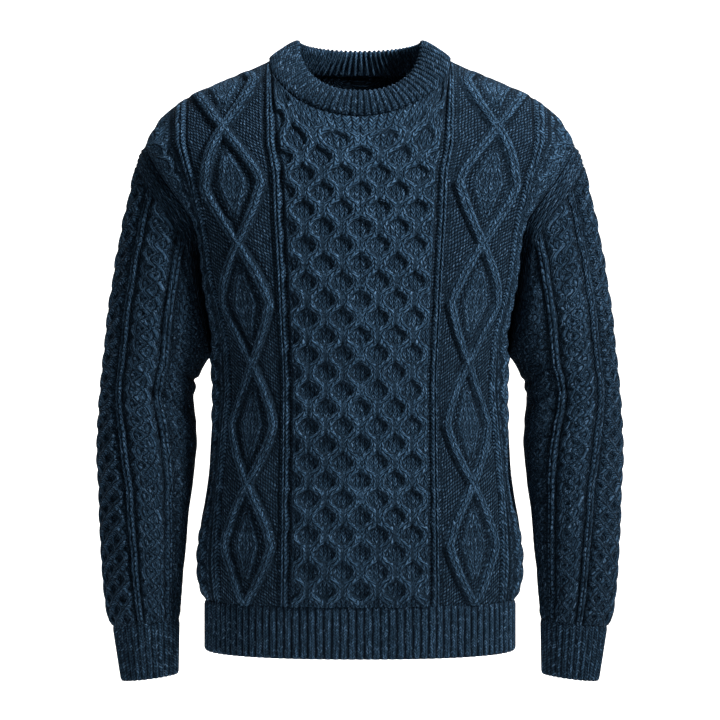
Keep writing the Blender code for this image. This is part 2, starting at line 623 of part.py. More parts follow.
def wall_object(name, outer_rows, inner_rows, heights, closed, collection, wool, place=None):
    """One closed solid from rows of outer points and fewer rows of plain inner points."""
    ids, points = [], []
    for row in list(outer_rows) + list(inner_rows):
        ids.append(list(range(len(points), len(points) + len(row))))
        points.extend(np.asarray(row).tolist())
    high = np.concatenate([np.asarray(h) for h in heights] + [np.zeros(len(points))])
    points = np.array(points)
    outer, inner = ids[:len(outer_rows)], ids[len(outer_rows):]
    faces = []
    for rows in (outer, inner):
        for low_row, high_row in zip(rows, rows[1:]):
            faces += strip(points, low_row, high_row, closed, high, place)
    for end in (0, -1):
        faces += strip(points, outer[end], inner[end], closed, high, place)
    if not closed:
        for end in (0, -1):
            ends = [r[end] for r in outer], [r[end] for r in inner]
            faces += strip(points, *ends, False, high)
    mesh = bpy.data.meshes.new(name)
    mesh.from_pydata(points.tolist(), [], faces)
    work = bmesh.new()
    work.from_mesh(mesh)
    bmesh.ops.recalc_face_normals(work, faces=work.faces)
    if work.calc_volume(signed=True) < 0:
        bmesh.ops.reverse_faces(work, faces=work.faces)
    work.to_mesh(mesh)
    work.free()
    mesh.materials.append(wool)
    piece = bpy.data.objects.new(name, mesh)
    collection.objects.link(piece)
    return piece


def yarn(name, colour):
    """Matte wool: each piece has its own, a little lighter or darker."""
    material = bpy.data.materials.new(name)
    material.use_nodes = True
    shader = material.node_tree.nodes["Principled BSDF"]
    shader.inputs["Base Color"].default_value = (*colour, 1)
    shader.inputs["Roughness"].default_value = 0.92
    shader.inputs["Metallic"].default_value = 0.0
    return material


NAVY = (0.022, 0.042, 0.068)
NAVY_RIB = (0.019, 0.036, 0.060)


def flip_side(rows):
    return [mirrored(np.asarray(row)) for row in rows]


def neck_ring(front, back, pick):
    """Points round the neck edge, starting in front and turning towards +X."""
    middle = len(HALF) - 1
    reach = int(np.argmin(np.abs(HALF - INNER_RIDGE)))
    columns = [c for c in pick if abs(c - middle) <= reach]
    forward = [c for c in columns if c >= middle]
    backward = [c for c in columns if c < middle]
    ring = [front[-1][c] for c in forward] + [back[-1][c] for c in columns[-2:0:-1]]
    ring += [front[-1][c] for c in backward]
    ring = np.array(ring)
    for k in (len(forward) - 1, len(forward) + len(columns) - 2):
        ring[k, 1] = 0
    return ring


def neck_turns(ring):
    """Share of a turn round the neck, from the front towards +X, of each point on the neck edge."""
    swing = np.arcsin(np.clip(ring[:, 0] / neck_corner(), -1, 1))
    return np.where(ring[:, 1] > 0, np.pi - swing, swing) % (2 * np.pi) / (2 * np.pi)


def main():
    for old in list(bpy.data.objects):
        bpy.data.objects.remove(old)
    collection = bpy.data.collections.new("aran_sweater")
    bpy.context.scene.collection.children.link(collection)

    every = range(2 * len(HALF) - 1)
    few = inner_pick()
    panels, seams = {}, []
    for side in ("front", "back"):
        outer, inner, heights, seam = body_panel(side)
        panels[side] = (outer, inner)
        seams.append(seam)
        coarse = inner[::INNER_STEP][:, few]
        wall_object(side, outer, coarse, heights, False, collection, yarn(side + "_wool", NAVY))
        rows = hem(outer[0], coarse[0], side)
        wall_object("hem_rib_" + side, *rows, False, collection, yarn("hem_wool_" + side, NAVY_RIB))

    for name, turned in (("right", False), ("left", True)):
        outer, inner, heights = sleeve(seams)
        lower = cuff(outer[-1], inner[-1])
        if turned:
            outer, inner = flip_side(outer), flip_side(inner)
            lower = (flip_side(lower[0]), flip_side(lower[1]), lower[2])
        wool, rib_wool = yarn("sleeve_wool_" + name, NAVY), yarn("cuff_wool_" + name, NAVY_RIB)
        wall_object("sleeve_" + name, outer, inner, heights, True, collection, wool)
        wall_object("cuff_" + name, *lower, True, collection, rib_wool)

    front, back = panels["front"], panels["back"]
    edges = neck_ring(front[0], back[0], every), neck_ring(front[1], back[1], few)
    turns = neck_turns(edges[0]), neck_turns(neck_ring(front[0], back[0], few))
    outer, inner, heights, place = collar(*edges, *turns)
    wool = yarn("neckband_wool", NAVY_RIB)
    wall_object("neckband", outer, inner, heights, True, collection, wool, place)


main()
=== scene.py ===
# %% [markdown]
# # An aran sweater, worn shape with nobody in it
# The sweater is knitted in nine pieces: front, back, two sleeves, two hem ribs, two cuffs and a
# neckband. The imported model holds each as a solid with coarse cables. Here a thin shell of cloth on
# the same form, fine enough to show every cord, replaces each solid. A shell is a grid of points
# worked out with numpy: first the smooth body, then the height of the knitting over it, which moves
# each point along the surface's own direction.

import bpy
import numpy as np
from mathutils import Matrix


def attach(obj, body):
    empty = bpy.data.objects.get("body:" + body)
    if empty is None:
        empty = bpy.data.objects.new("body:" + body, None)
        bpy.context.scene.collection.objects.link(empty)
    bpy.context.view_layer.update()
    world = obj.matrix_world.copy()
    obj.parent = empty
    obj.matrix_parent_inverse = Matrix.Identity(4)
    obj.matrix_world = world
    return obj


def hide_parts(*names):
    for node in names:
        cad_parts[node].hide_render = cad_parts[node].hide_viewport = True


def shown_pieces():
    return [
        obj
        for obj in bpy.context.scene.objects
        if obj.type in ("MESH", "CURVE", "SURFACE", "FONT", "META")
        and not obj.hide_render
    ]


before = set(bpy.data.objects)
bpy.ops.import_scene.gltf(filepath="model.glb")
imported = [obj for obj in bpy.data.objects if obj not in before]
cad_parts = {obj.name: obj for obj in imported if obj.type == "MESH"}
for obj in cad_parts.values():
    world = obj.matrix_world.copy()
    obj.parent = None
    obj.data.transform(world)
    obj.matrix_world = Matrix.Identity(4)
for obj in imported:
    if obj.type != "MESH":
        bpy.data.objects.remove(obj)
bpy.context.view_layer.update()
MM = 0.001
print("solids:", sorted(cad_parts))

# %% [markdown]
# ## Camera
# The camera stands 3 m in front, level with the middle of the sweater, and has a long lens. It is
# made first, because every later choice is judged through it.

# %% Camera
LENS, SENSOR = 128.2, 36
DISTANCE, MIDDLE = 3.0, -0.304


def add_object(name, data):
    """A new object in the scene with the given mesh, lamp or camera."""
    thing = bpy.data.objects.new(name, data)
    bpy.context.scene.collection.objects.link(thing)
    return thing


eye = bpy.data.cameras.new("camera")
eye.lens, eye.sensor_width = LENS, SENSOR
camera = add_object("camera", eye)
camera.location = (0, -DISTANCE, MIDDLE)
camera.rotation_euler = (np.pi / 2, 0, 0)
bpy.context.scene.camera = camera
print("field of view in mm at the middle of the sweater:", round(DISTANCE / MM * SENSOR / LENS))

# %% [markdown]
# ## The shape of the body
# The torso is described by level sections. Each is half a superellipse, an ellipse with fuller
# corners, whose width and depth come from a table of heights. It could also be sculpted, or draped
# on a dummy. A table keeps the size exact and the same on every run.

# %% Tables of the body and the arms
HEM_SEAM, HEM_EDGE = -582 * MM, -641 * MM
UNDERARM, SHOULDER_TIP = -298 * MM, -54 * MM
NECK_FRONT, NECK_BACK = -26 * MM, 36 * MM
ROUNDNESS, NECK_CURVE = 2.3, 1.9
ARMHOLE_DEPTH = 60 * MM
ARMHOLE_MIDDLE, ARMHOLE_REACH = (SHOULDER_TIP + UNDERARM) / 2, (SHOULDER_TIP - UNDERARM) / 2


def table(names, rows):
    """A table of millimetres as a dictionary of columns in metres; a column "share" has no unit."""
    columns = np.array(rows, dtype=float).T
    return {n: c if n == "share" else c * MM for n, c in zip(names.split(), columns)}


BODY = table("height half_width inner_ridge outer_ridge front_depth back_depth", (
    (-582, 180, 86, 164, 119, 111), (-560, 187, 86, 165, 125, 117), (-538, 189, 85.5, 165, 128, 119),
    (-515, 188.5, 85.5, 164, 128, 118), (-491, 186, 85, 163, 127, 116), (-468, 182, 85, 162, 126, 115),
    (-430, 177, 84.3, 159, 125, 114), (-400, 175, 84, 156, 124, 114),
    (-374, 173, 84, 153, 124, 114), (-340, 171, 83.7, 150, 124, 115),
    (-304, 172.5, 84.5, 152, 125, 117), (-281, 174, 86, 155, 125, 118), (-247, 179, 87.5, 164, 125, 120),
    (-212, 183, 89, 173, 124, 121), (-177, 185, 91, 177, 123, 122), (-149, 191, 92.7, 181, 121, 122),
    (-133, 200, 93.5, 185, 119, 122), (-116, 212, 94, 189, 116.5, 121.5),
    (-97, 226, 95, 193, 113, 120), (-80, 237, 97.5, 198, 109, 118), (-62, 247, 101, 203, 103, 115),
    (-54, 251, 102, 205, 100, 113)))
YOKE = table("height half_width front_depth back_depth", (
    (-54, 251, 100, 113), (-47, 247, 97.5, 111.5), (-35, 240, 91, 109), (-23, 233, 85, 106),
    (-12, 222, 79, 102), (0, 205, 73, 96), (12, 182, 66, 89), (23, 157, 58, 81), (35, 128, 48, 72),
    (46, 104, 37, 62), (52, 88, 28, 55)))
ARM_OUTER = table("height reach", (
    (-54, 251), (-70, 258), (-94, 262.5), (-117, 267), (-140, 273), (-164, 277), (-187, 282),
    (-211, 285), (-234, 289), (-257, 292), (-281, 294), (-304, 296.5), (-340, 300), (-374, 302.5),
    (-415, 303.5), (-456, 301), (-491, 300), (-526, 298), (-561, 295.5), (-590, 292), (-612, 287.5),
    (-632, 283.5), (-655, 280), (-680, 277)))
ARM_INNER = table("height reach", (
    (-298, 178), (-310, 183), (-320, 187), (-330, 190), (-340, 192.5), (-351, 194), (-363, 193),
    (-380, 190.5), (-398, 190), (-420, 192), (-445, 194.5), (-480, 199.5), (-515, 202.5), (-550, 206.5),
    (-585, 209.5), (-608, 211), (-640, 212), (-680, 212)))
ARM = table("share outer_height inner_height half_depth forward", (
    (0.00, -54, -298, 60, 0), (0.10, -110, -303, 61, 0), (0.20, -166, -309, 61, 0),
    (0.30, -221, -317, 60, 0), (0.40, -277, -330, 59, 1), (0.50, -333, -348, 57, 2),
    (0.56, -367, -369, 56, 3), (0.70, -445, -440, 53, 6), (0.85, -528, -521, 47, 10),
    (0.95, -584, -577, 41, 13), (1.00, -612, -604, 35, 15)))
print("body sections:", len(BODY["height"]), "yoke:", len(YOKE["height"]), "arm:", len(ARM["share"]))


# %% A smooth curve through a table
def smooth(x, xs, ys):
    """Cubic pieces between the rows; the slope at a row is the harmonic mean of those beside it, and
    zero where the curve turns, so that it never overshoots."""
    order = np.argsort(xs)
    xs, ys = np.asarray(xs)[order], np.asarray(ys)[order]
    x = np.clip(x, xs[0], xs[-1])
    step = np.diff(xs)
    slope = np.diff(ys) / step
    turning = slope[1:] * slope[:-1] <= 0
    mean = 2 * slope[1:] * slope[:-1] / (slope[1:] + slope[:-1] + turning)
    tangent = np.concatenate(([slope[0]], np.where(turning, 0, mean), [slope[-1]]))
    k = np.clip(np.searchsorted(xs, x) - 1, 0, len(step) - 1)
    t, h = (x - xs[k]) / step[k], step[k]
    return (ys[k] * (1 + 2 * t) * (1 - t) ** 2 + h * tangent[k] * t * (1 - t) ** 2
            + ys[k + 1] * t ** 2 * (3 - 2 * t) + h * tangent[k + 1] * t ** 2 * (t - 1))


def read(columns, name, at, key="height"):
    """A column of a table, read smoothly at heights, or at values of another column."""
    return smooth(at, columns[key], columns[name])


def unit(v):
    """Each vector divided by its own length."""
    return v / np.maximum(np.linalg.norm(v, axis=-1, keepdims=True), 1e-12)


def ramp(x, low, high):
    """0 below low, 1 above high, and a smooth s-curve between."""
    t = np.clip((x - low) / (high - low), 0, 1)
    return t * t * (3 - 2 * t)


def seam_depth(z):
    """Half an ellipse: how far the armhole seam stands in front of the shoulder line."""
    share = np.clip((z - ARMHOLE_MIDDLE) / ARMHOLE_REACH, -1, 1)
    return ARMHOLE_DEPTH * np.sqrt(1 - share ** 2)


def body_depth(x, z, side):
    """Superellipse: depth ** 2.3 runs evenly from the middle's to the seam's with |x / width| ** 2.3."""
    low = z <= SHOULDER_TIP
    half, middle = (np.where(low, read(BODY, name, z), read(YOKE, name, z))
                    for name in ("half_width", side + "_depth"))
    share = np.clip(np.abs(x) / half, 0, 1) ** ROUNDNESS
    edge = np.where(low, seam_depth(z), 0)
    return (middle ** ROUNDNESS * (1 - share) + edge ** ROUNDNESS * share) ** (1 / ROUNDNESS)


print("chest in mm:", round(2 * float(read(BODY, "half_width", -0.2)) / MM), "across,",
      round(float(body_depth(0.0, -0.2, "front") + body_depth(0.0, -0.2, "back")) / MM), "deep")

# %% [markdown]
# ## Where the stitches run
# Knitting has columns of stitches. They run straight up the flat cloth, but on the body they lean in
# at the waist and out at the chest, as the ridges show. The place of a column at each height is
# measured along the level section, between the ridges, whose places come from the table. So the
# cables can be drawn on flat cloth and still follow the body.

# %% Layout of the flat cloth, in metres from the middle
CELL_WIDTH, CELL_HEIGHT = 42 * MM, 40.6 * MM
HONEYCOMB_HALF = 2 * CELL_WIDTH
INNER_RIDGE, OUTER_RIDGE, PANEL_EDGE = 93 * MM, 200 * MM, 245 * MM
DIAMOND_MIDDLE, DIAMOND_REACH, DIAMOND_HEIGHT = 147 * MM, 36 * MM, 137 * MM
ROPE_MIDDLE = 223 * MM
STITCH = 5.6 * MM  # width of one column of stitches
RIDGE_SPREAD = 3 * MM
HEIGHTS = np.linspace(HEM_SEAM, 60 * MM, 257)


def length_along(points):
    """Running length along the first axis of rows of points."""
    steps = np.linalg.norm(np.diff(points, axis=0), axis=-1)
    return np.concatenate((np.zeros((1,) + steps.shape[1:]), np.cumsum(steps, axis=0)))


def stitch_places(q):
    """Distance from the middle plane of the columns q, a row for each of HEIGHTS."""
    low = np.minimum(HEIGHTS, SHOULDER_TIP)
    half = read(BODY, "half_width", low)
    x = half[:, None] * np.sin(np.linspace(0, np.pi / 2, 91))
    y = (body_depth(x, low[:, None], "front") + body_depth(x, low[:, None], "back")) / 2
    along = length_along(np.stack((x.T, y.T), axis=-1)).T
    ridges = [read(BODY, name, low) for name in ("inner_ridge", "outer_ridge")]
    rows = []
    for k in range(len(HEIGHTS)):
        marks = [0] + [np.interp(r[k], x[k], along[k]) for r in ridges] + [along[k, -1]]
        wanted = np.interp(q, (0, INNER_RIDGE, OUTER_RIDGE, PANEL_EDGE), marks)
        rows.append(np.interp(wanted, along[k], x[k]))
    lift = np.clip(HEIGHTS - SHOULDER_TIP, 0, None) / (YOKE["height"][-1] - SHOULDER_TIP)
    return np.array(rows) + RIDGE_SPREAD * lift[:, None] * np.minimum(q / INNER_RIDGE, 1)


def at_height(places, z):
    """Values of a table with a row for each of HEIGHTS, read at other heights, column by column."""
    k = np.clip((z - HEIGHTS[0]) / (HEIGHTS[1] - HEIGHTS[0]), 0, len(HEIGHTS) - 1.001)
    low = k.astype(int)
    column = np.broadcast_to(np.arange(places.shape[1]), z.shape)
    return places[low, column] * (1 - k + low) + places[low + 1, column] * (k - low)


def shoulder_line(x):
    """Height of the shoulder seam at a distance from the middle plane."""
    return read(YOKE, "height", x, key="half_width")


def neckline(x, corner, side):
    """Superellipse between the two ends of the shoulder seams, deeper in front."""
    top = shoulder_line(corner)
    drop = top - (NECK_FRONT if side == "front" else NECK_BACK)
    curve = NECK_CURVE if side == "front" else 2
    return top - drop * (1 - np.clip(np.abs(x) / corner, 0, 1) ** curve) ** (1 / curve)


def column_tops(q, places, side, corner):
    """Heights where the columns end, found by going back and forth between column and edge."""
    z = np.full(len(q), SHOULDER_TIP)
    for _ in range(60):
        x = at_height(places, z)
        edge = shoulder_line(x)
        if corner is not None:
            edge = np.where(q >= INNER_RIDGE, edge, neckline(x, corner, side))
        z = np.where(q >= PANEL_EDGE, SHOULDER_TIP, edge)
    return z


RIDGE_COLUMN = np.array([INNER_RIDGE])
ridge_places = stitch_places(RIDGE_COLUMN)
ridge_top = column_tops(RIDGE_COLUMN, ridge_places, "front", None)
NECK_CORNER = float(at_height(ridge_places, ridge_top)[0])
print("neck corner, mm from the middle:", round(NECK_CORNER / MM, 1))


# %% Points of half a panel
def half_columns():
    """Columns 2.1 mm apart, and 1.2 mm apart over the two ridges, whose lines are fine."""
    parts = [np.arange(*part) for part in ((0, 85, 2.1), (85.2, 101, 1.2), (102.6, 191, 2.1),
                                           (192.6, 208, 1.2), (209.4, 244, 2.1))]
    q = np.concatenate((*parts, [245])) * MM
    return np.sort(np.append(q[(np.abs(q - INNER_RIDGE) > 0.4 * MM)], INNER_RIDGE))


LOWER_ROWS, UPPER_ROWS = 140, 172
# How much the rows of these shares of the upper part take on of the slide along the neck edge
NECK_SHARES = (22 / 28, 23 / 28, 24 / 28, 25 / 28, 26 / 28, 27 / 28, 1)
NECK_WEIGHTS = (0, 0.12, 0.25, 0.4, 0.6, 0.8, 1)


def half_panel(side):
    """Rows of points from the hem seam up, and how far up the cloth each lies. Above the underarm the
    rows open out with the third power of their share, so that they end on the neck and shoulder."""
    q = half_columns()
    places = stitch_places(q)
    top = column_tops(q, places, side, NECK_CORNER)
    fine = UNDERARM + (top - UNDERARM) * (1 - np.cos(np.linspace(0, np.pi, 241)))[:, None] / 2
    x = at_height(places, fine)
    y = body_depth(x, fine, side)
    y[-1, (q >= INNER_RIDGE) & (q < PANEL_EDGE)] = 0
    along = length_along(np.stack((x, y, fine), axis=-1))
    share = np.linspace(0, 1, UPPER_ROWS + 1)[:, None]
    straight = UNDERARM - HEM_SEAM
    wanted = share * straight + (along[-1] - straight) * share ** 3
    upper = np.stack([np.column_stack([np.interp(wanted[:, c], along[:, c], v[:, c]) for v in (x, y, fine)])
                      for c in range(len(q))], axis=1)
    low_z = np.linspace(HEM_SEAM, UNDERARM, LOWER_ROWS + 1)[:-1, None] * np.ones(len(q))
    low_x = at_height(places, low_z)
    lower = np.stack((low_x, body_depth(low_x, low_z, side), low_z), axis=-1)
    up = np.concatenate((low_z - HEM_SEAM, straight + wanted))
    points = even_neck(np.concatenate((lower, upper)), q, side, share[:, 0])
    return points, q, up


def even_neck(points, q, side, share):
    """The ends of the columns slide along the neck edge until they are evenly spaced."""
    last = int(np.argmin(np.abs(q - INNER_RIDGE)))
    x = NECK_CORNER * np.sin(np.linspace(0, np.pi / 2, 181))
    z = neckline(x, NECK_CORNER, side)
    edge = np.column_stack((x, body_depth(x, z, side), z))
    edge[-1, 1] = 0
    along = length_along(edge)
    wanted = q[:last + 1] / q[last] * along[-1]
    even = np.column_stack([np.interp(wanted, along, edge[:, k]) for k in (0, 2)])
    shift = (even - points[-1, :last + 1][:, (0, 2)])[:last]
    weight = np.interp(share, NECK_SHARES, NECK_WEIGHTS)[:, None]
    top = points[-len(share):, :last]
    top[..., 0] += weight * shift[:, 0]
    top[..., 2] += weight * shift[:, 1]
    moved = body_depth(top[..., 0], top[..., 2], side)
    top[..., 1] = np.where(weight > 0, moved, top[..., 1])
    return points


_, trial_q, trial_up = half_panel("front")
print("half a front:", trial_up.shape, "points; longest column in mm:", round(trial_up.max() / MM))


# %% [markdown]
# ## Cords, ridges and diamonds
# A cable stands up from a sunken ground. Each is drawn on the flat cloth as a centre line, and its
# height falls off with the distance from it. The same distance is kept as a coordinate, so that the
# fine stitches of the material run along every cord.

# %% Profile of a cord
CABLE, DIAMOND_CABLE, RIDGE, ROPE = 5.6 * MM, 5.2 * MM, 3 * MM, 5 * MM  # heights


def cord(distance, half_width):
    """Full, steep-sided ridge: (1 - t ** 2.8) ** 0.65, where t is the distance in half widths."""
    t = np.clip(np.abs(distance) / half_width, 0, 1)
    return (1 - t ** 2.8) ** 0.65


def highest(layers):
    """The highest of several (height, across, purl) layers at each point."""
    height = np.stack([layer[0] for layer in layers])
    pick = np.argmax(height, axis=0)[None]
    return [np.take_along_axis(np.stack([np.broadcast_to(layer[k], height.shape[1:])
                                         for layer in layers]), pick, axis=0)[0] for k in range(3)]


def honeycomb(q, up):
    """Cords in mirrored pairs swing as a flattened cosine, so they touch and part. The ground is filled
    up to 0.7 of their height, apart from an elliptic pit in each cell."""
    turn = 2 * np.pi * up / CELL_HEIGHT
    flat, swing_width, half_width, pit_width, pit_height = 1.2, 5.7 * MM, 5.7 * MM, 11 * MM, 13 * MM
    swing = np.tanh(flat * np.cos(turn)) / np.tanh(flat)
    slope = flat * np.sin(turn) / np.tanh(flat) / np.cosh(flat * np.cos(turn)) ** 2
    slope = swing_width * slope * 2 * np.pi / CELL_HEIGHT
    inside = ramp(HONEYCOMB_HALF + 2 * MM - q, 0, 3 * MM)
    cell_x, cell_y = q / CELL_WIDTH, up / CELL_HEIGHT
    pit = np.full(q.shape, 9.0)
    for shift in (0, 0.5):
        dx = (cell_x + 0.5 + shift) % 1 - 0.5
        dy = (cell_y + shift) % 1 - 0.5
        pit = np.minimum(pit, (dx * CELL_WIDTH / pit_width) ** 2 + (dy * CELL_HEIGHT / pit_height) ** 2)
    layers = [(0.7 * CABLE * ramp(pit, 0.7, 1.3) * inside, q, 0 * q), (0.1 * MM * inside, q, 0 * q)]
    for k in range(4):
        centre = (k + 0.5) * CELL_WIDTH / 2 - (-1) ** k * swing_width * swing
        distance = (q - centre) / np.sqrt(1 + slope ** 2)
        layers.append((CABLE * cord(distance, half_width) * inside, distance, 0 * q))
    return highest(layers)


def diamonds(q, up):
    """Two ribs cross again and again, with a smaller filled lozenge between them. The ground sinks in
    a bell beside each rib."""
    turn = 1 - np.abs(2 * (up / DIAMOND_HEIGHT % 1) - 1)
    reach = DIAMOND_REACH * (0.55 * turn + 0.45 * np.sin(np.pi / 2 * turn))
    lean = np.cos(np.arctan(2 * DIAMOND_REACH / DIAMOND_HEIGHT))
    start = 0.42  # share of the way from a crossing to the widest place
    small = 14 * MM * np.clip((turn - start) / (1 - start), 0, 1)
    layers, nearest = [], np.full(q.shape, 1.0)
    for way in (1, -1):
        distance = (q - DIAMOND_MIDDLE - way * reach) * lean
        over = 1 + 0.22 * (way > 0) * ramp(0.3 - turn, 0, 0.3)
        layers.append((DIAMOND_CABLE * over * cord(distance, 7.2 * MM), distance, 0 * q))
        nearest = np.minimum(nearest, np.abs(distance))
        inner = (q - DIAMOND_MIDDLE - way * small) * lean
        layers.append((2.5 * MM * ramp(turn, start, 0.56) * cord(inner, 4.8 * MM), inner, 0 * q))
    filled = ramp(small - np.abs(q - DIAMOND_MIDDLE), -2 * MM, 2 * MM) * ramp(turn, 0.5, 0.62)
    layers.append((1.5 * MM * filled, q - DIAMOND_MIDDLE, 0 * q))
    height, across, purl = highest(layers)
    ground = -1.3 * MM * np.exp(-((nearest - 8.6 * MM) / (2.2 * MM)) ** 2)
    low = height < 0.02 * MM
    return np.where(low, ground, height), np.where(low, q, across), np.where(low, 1.0, purl)


def double_ridge(distance):
    """Two fine lines 4.2 mm apart between two shallow gutters."""
    line = cord(np.abs(distance) - 2.1 * MM, 2 * MM)
    gutter = np.exp(-((np.abs(distance) - 6.6 * MM) / (2.2 * MM)) ** 2)
    return RIDGE * line - 1.5 * MM * gutter


def with_ridges(layer, across, places, reach):
    """The layer with a double ridge laid over it at each place, and purl in the ridge's gutters."""
    height, cross, purl = layer
    for place in places:
        away = across - place
        near = np.abs(away) < reach
        height = np.where(near, double_ridge(away), height)
        cross = np.where(near, away, cross)
        purl = np.where(near, (np.abs(away) > 4.2 * MM) * 1.0, purl)
    return height, cross, purl


def plait(distance, up, count, height, pitch, swing, lean, over):
    """Two strands of a rope or three of a braid: each swings as a sine, a share of a turn after the
    last, and is higher where it crosses over."""
    layers = []
    for k in range(count):
        turn = 2 * np.pi * (up / pitch + k / count)
        d = (distance - swing * np.sin(turn)) * lean
        rise = height * (1 - over + over * np.cos((count - 1) * turn))
        layers.append((rise * cord(d, 5.2 * MM), d, 0 * d))
    return highest(layers)


def body_relief(q, up, top):
    """Height over the ground, distance across the nearest cord, and how purled the ground is."""
    ground = (0 * q, q, np.ones(q.shape))
    rope = plait(q - ROPE_MIDDLE, up, 2, ROPE, 46 * MM, 5.5 * MM, lean=0.85, over=0.2)
    layer = highest([honeycomb(q, up), rope, ground])
    lozenges = (q > INNER_RIDGE) & (q < OUTER_RIDGE)
    layer = [np.where(lozenges, own, other) for own, other in zip(diamonds(q, up), layer)]
    height, across, purl = with_ridges(layer, q, (INNER_RIDGE, OUTER_RIDGE), 8 * MM)
    yoke = ramp(q, 66 * MM, 38 * MM) * ramp(top - up, 28 * MM, 20 * MM) if top is not None else 0 * q
    ribs = 2 * MM * np.cos(np.pi * q / STITCH) ** 2 + 1 * MM
    height = height * (1 - yoke) + ribs * yoke
    across, purl = np.where(yoke > 0.5, q, across), purl * (1 - yoke)
    return height, across, purl


height = body_relief(np.broadcast_to(trial_q, trial_up.shape), trial_up, None)[0] / MM
print("cables stand in mm:", round(float(height.min()), 1), "to", round(float(height.max()), 1))


# %% [markdown]
# ## From a grid to a shell of cloth
# A knitted wall has cables outside and is plain inside. One grid makes the outside and a coarser one,
# 2.6 mm further in, the inside, and rims join them to a closed shell. Solidify could do it too, but
# it would double the fine points on the inside.

# %% Grids, rims and meshes
WALL = 2.6 * MM
SEAM_GAP = 0.1 * MM  # of each piece from the plane in which front and back are sewn


def grid_normals(points, closed=False):
    """Outward direction: the cross product of the directions along and up the grid."""
    wrapped = np.concatenate((points[:, -1:], points, points[:, :1]), axis=1) if closed else points
    across = np.gradient(wrapped, axis=1)
    across = across[:, 1:-1] if closed else across
    return unit(np.cross(across, np.gradient(points, axis=0)))


def grid_faces(ids):
    """A four-sided face between each point, its neighbours along and up, and the one diagonal."""
    return np.stack((ids[:-1, :-1], ids[:-1, 1:], ids[1:, 1:], ids[1:, :-1]), axis=-1).reshape(-1, 4)


def rim_faces(a, b):
    """Faces between a row of many points and one of few; where two share a point, three-sided."""
    near = np.round(np.linspace(0, len(b) - 1, len(a))).astype(int)
    return np.stack((a[:-1], a[1:], b[near[1:]], b[near[:-1]]), axis=-1)


def spaced(count, step):
    """About every step-th of a number of rows, with the first and the last."""
    return np.unique(np.round(np.linspace(0, count - 1, count // step)).astype(int))


def smooth_mesh(name, points, faces):
    """A mesh with smooth shading."""
    mesh = bpy.data.meshes.new(name)
    mesh.from_pydata(points, [], faces)
    mesh.polygons.foreach_set("use_smooth", np.ones(len(mesh.polygons), dtype=bool))
    return mesh


def shell(name, outer, inner, steps, masks, closed=False):
    """A closed shell: a fine grid outside, and every few rows and columns of another inside. The masks
    are two stitch coordinates, the painted shade and the purl."""
    count, width = outer.shape[:2]
    rows = spaced(count, steps[0])
    columns = np.arange(0, width, steps[1]) if closed else spaced(width, steps[1])
    coarse = inner[rows][:, columns]
    points = np.concatenate((outer.reshape(-1, 3), coarse.reshape(-1, 3)))
    a = np.arange(count * width).reshape(count, width)
    b = a.size + np.arange(coarse[..., 0].size).reshape(coarse.shape[:2])
    if closed:
        a, b = (np.concatenate((g, g[:, :1]), axis=1) for g in (a, b))
    quads = [grid_faces(a), grid_faces(b)[:, ::-1]]
    quads += [rim_faces(a[0, ::-1], b[0, ::-1]), rim_faces(a[-1], b[-1])]
    if not closed:
        quads += [rim_faces(a[:, 0], b[:, 0]), rim_faces(a[::-1, -1], b[::-1, -1])]
    quads = np.concatenate(quads)
    corner = points[quads]
    volume = np.sum(np.cross(corner[:, 0], corner[:, 1]) * corner[:, 2])
    volume += np.sum(np.cross(corner[:, 0], corner[:, 2]) * corner[:, 3])
    if volume < 0:
        quads = quads[:, ::-1]
    faces = [f[:3] if f[2] == f[3] else (f[1:] if f[0] == f[1] else f) for f in quads.tolist()]
    mesh = smooth_mesh(name, points, faces)
    across, along, raised, purl = masks
    inside = np.ones(coarse.shape[:2])
    # Painted shade: the inside wall gets a constant 0.25 in the shade mask, so it is painted dark; its purl
    # is 1.
    for label, values, plain in (("raised", raised, 0.25), ("purl", purl, 1.0)):
        attribute = mesh.attributes.new(label, "FLOAT", "POINT")
        attribute.data.foreach_set("value", np.concatenate((values.ravel(), (plain * inside).ravel())))
    flat = np.stack((across, along), axis=-1)
    flat = np.concatenate((flat.reshape(-1, 2), flat[rows][:, columns].reshape(-1, 2)))
    corners = np.empty(len(mesh.loops), dtype=np.int64)
    mesh.loops.foreach_get("vertex_index", corners)
    mesh.uv_layers.new(name="knit").data.foreach_set("uv", flat[corners].astype(np.float32).ravel())
    print(name, "triangles:", sum(len(f) - 2 for f in faces))
    return add_object(name, mesh)


def dress(piece, node):
    """The piece rides on the sweater and stands for its solid."""
    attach(piece, "root")
    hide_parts(node)


# %% [markdown]
# ## Front and back
# Both panels have a honeycomb in the middle, then a double ridge, diamonds, another double ridge and a
# rope cable at the side. The back goes up to a high neck. Half a panel is worked out and mirrored,
# then soft folds are pressed in, a little different left and right, as in worn cloth.

# %% Soft folds of the body
def body_folds(points, side):
    """Sum of long shallow bells: each has a place, a direction, a length, a width and a depth."""
    x, z = points[..., 0], points[..., 2]
    folds = ((-0.176, -0.430, 84, 75, 9, -4.0), (0.178, -0.440, 96, 75, 9, -4.0),
             (-0.150, -0.545, 60, 45, 12, -2.5), (0.150, -0.540, 120, 45, 12, -2.5),
             (-0.165, -0.250, 100, 50, 10, -3.0), (0.168, -0.262, 80, 50, 10, -3.0))
    if side == "back":
        folds = tuple((-fx, fz + 0.02, 180 - turn, *rest) for fx, fz, turn, *rest in folds)
    total = 0 * x
    for fx, fz, turn, length, width, depth in folds:
        c, s = np.cos(np.radians(turn)), np.sin(np.radians(turn))
        along, across = (x - fx) * c + (z - fz) * s, -(x - fx) * s + (z - fz) * c
        total += depth * MM * np.exp(-(along / (length * MM)) ** 2 - (across / (width * MM)) ** 2)
    return total


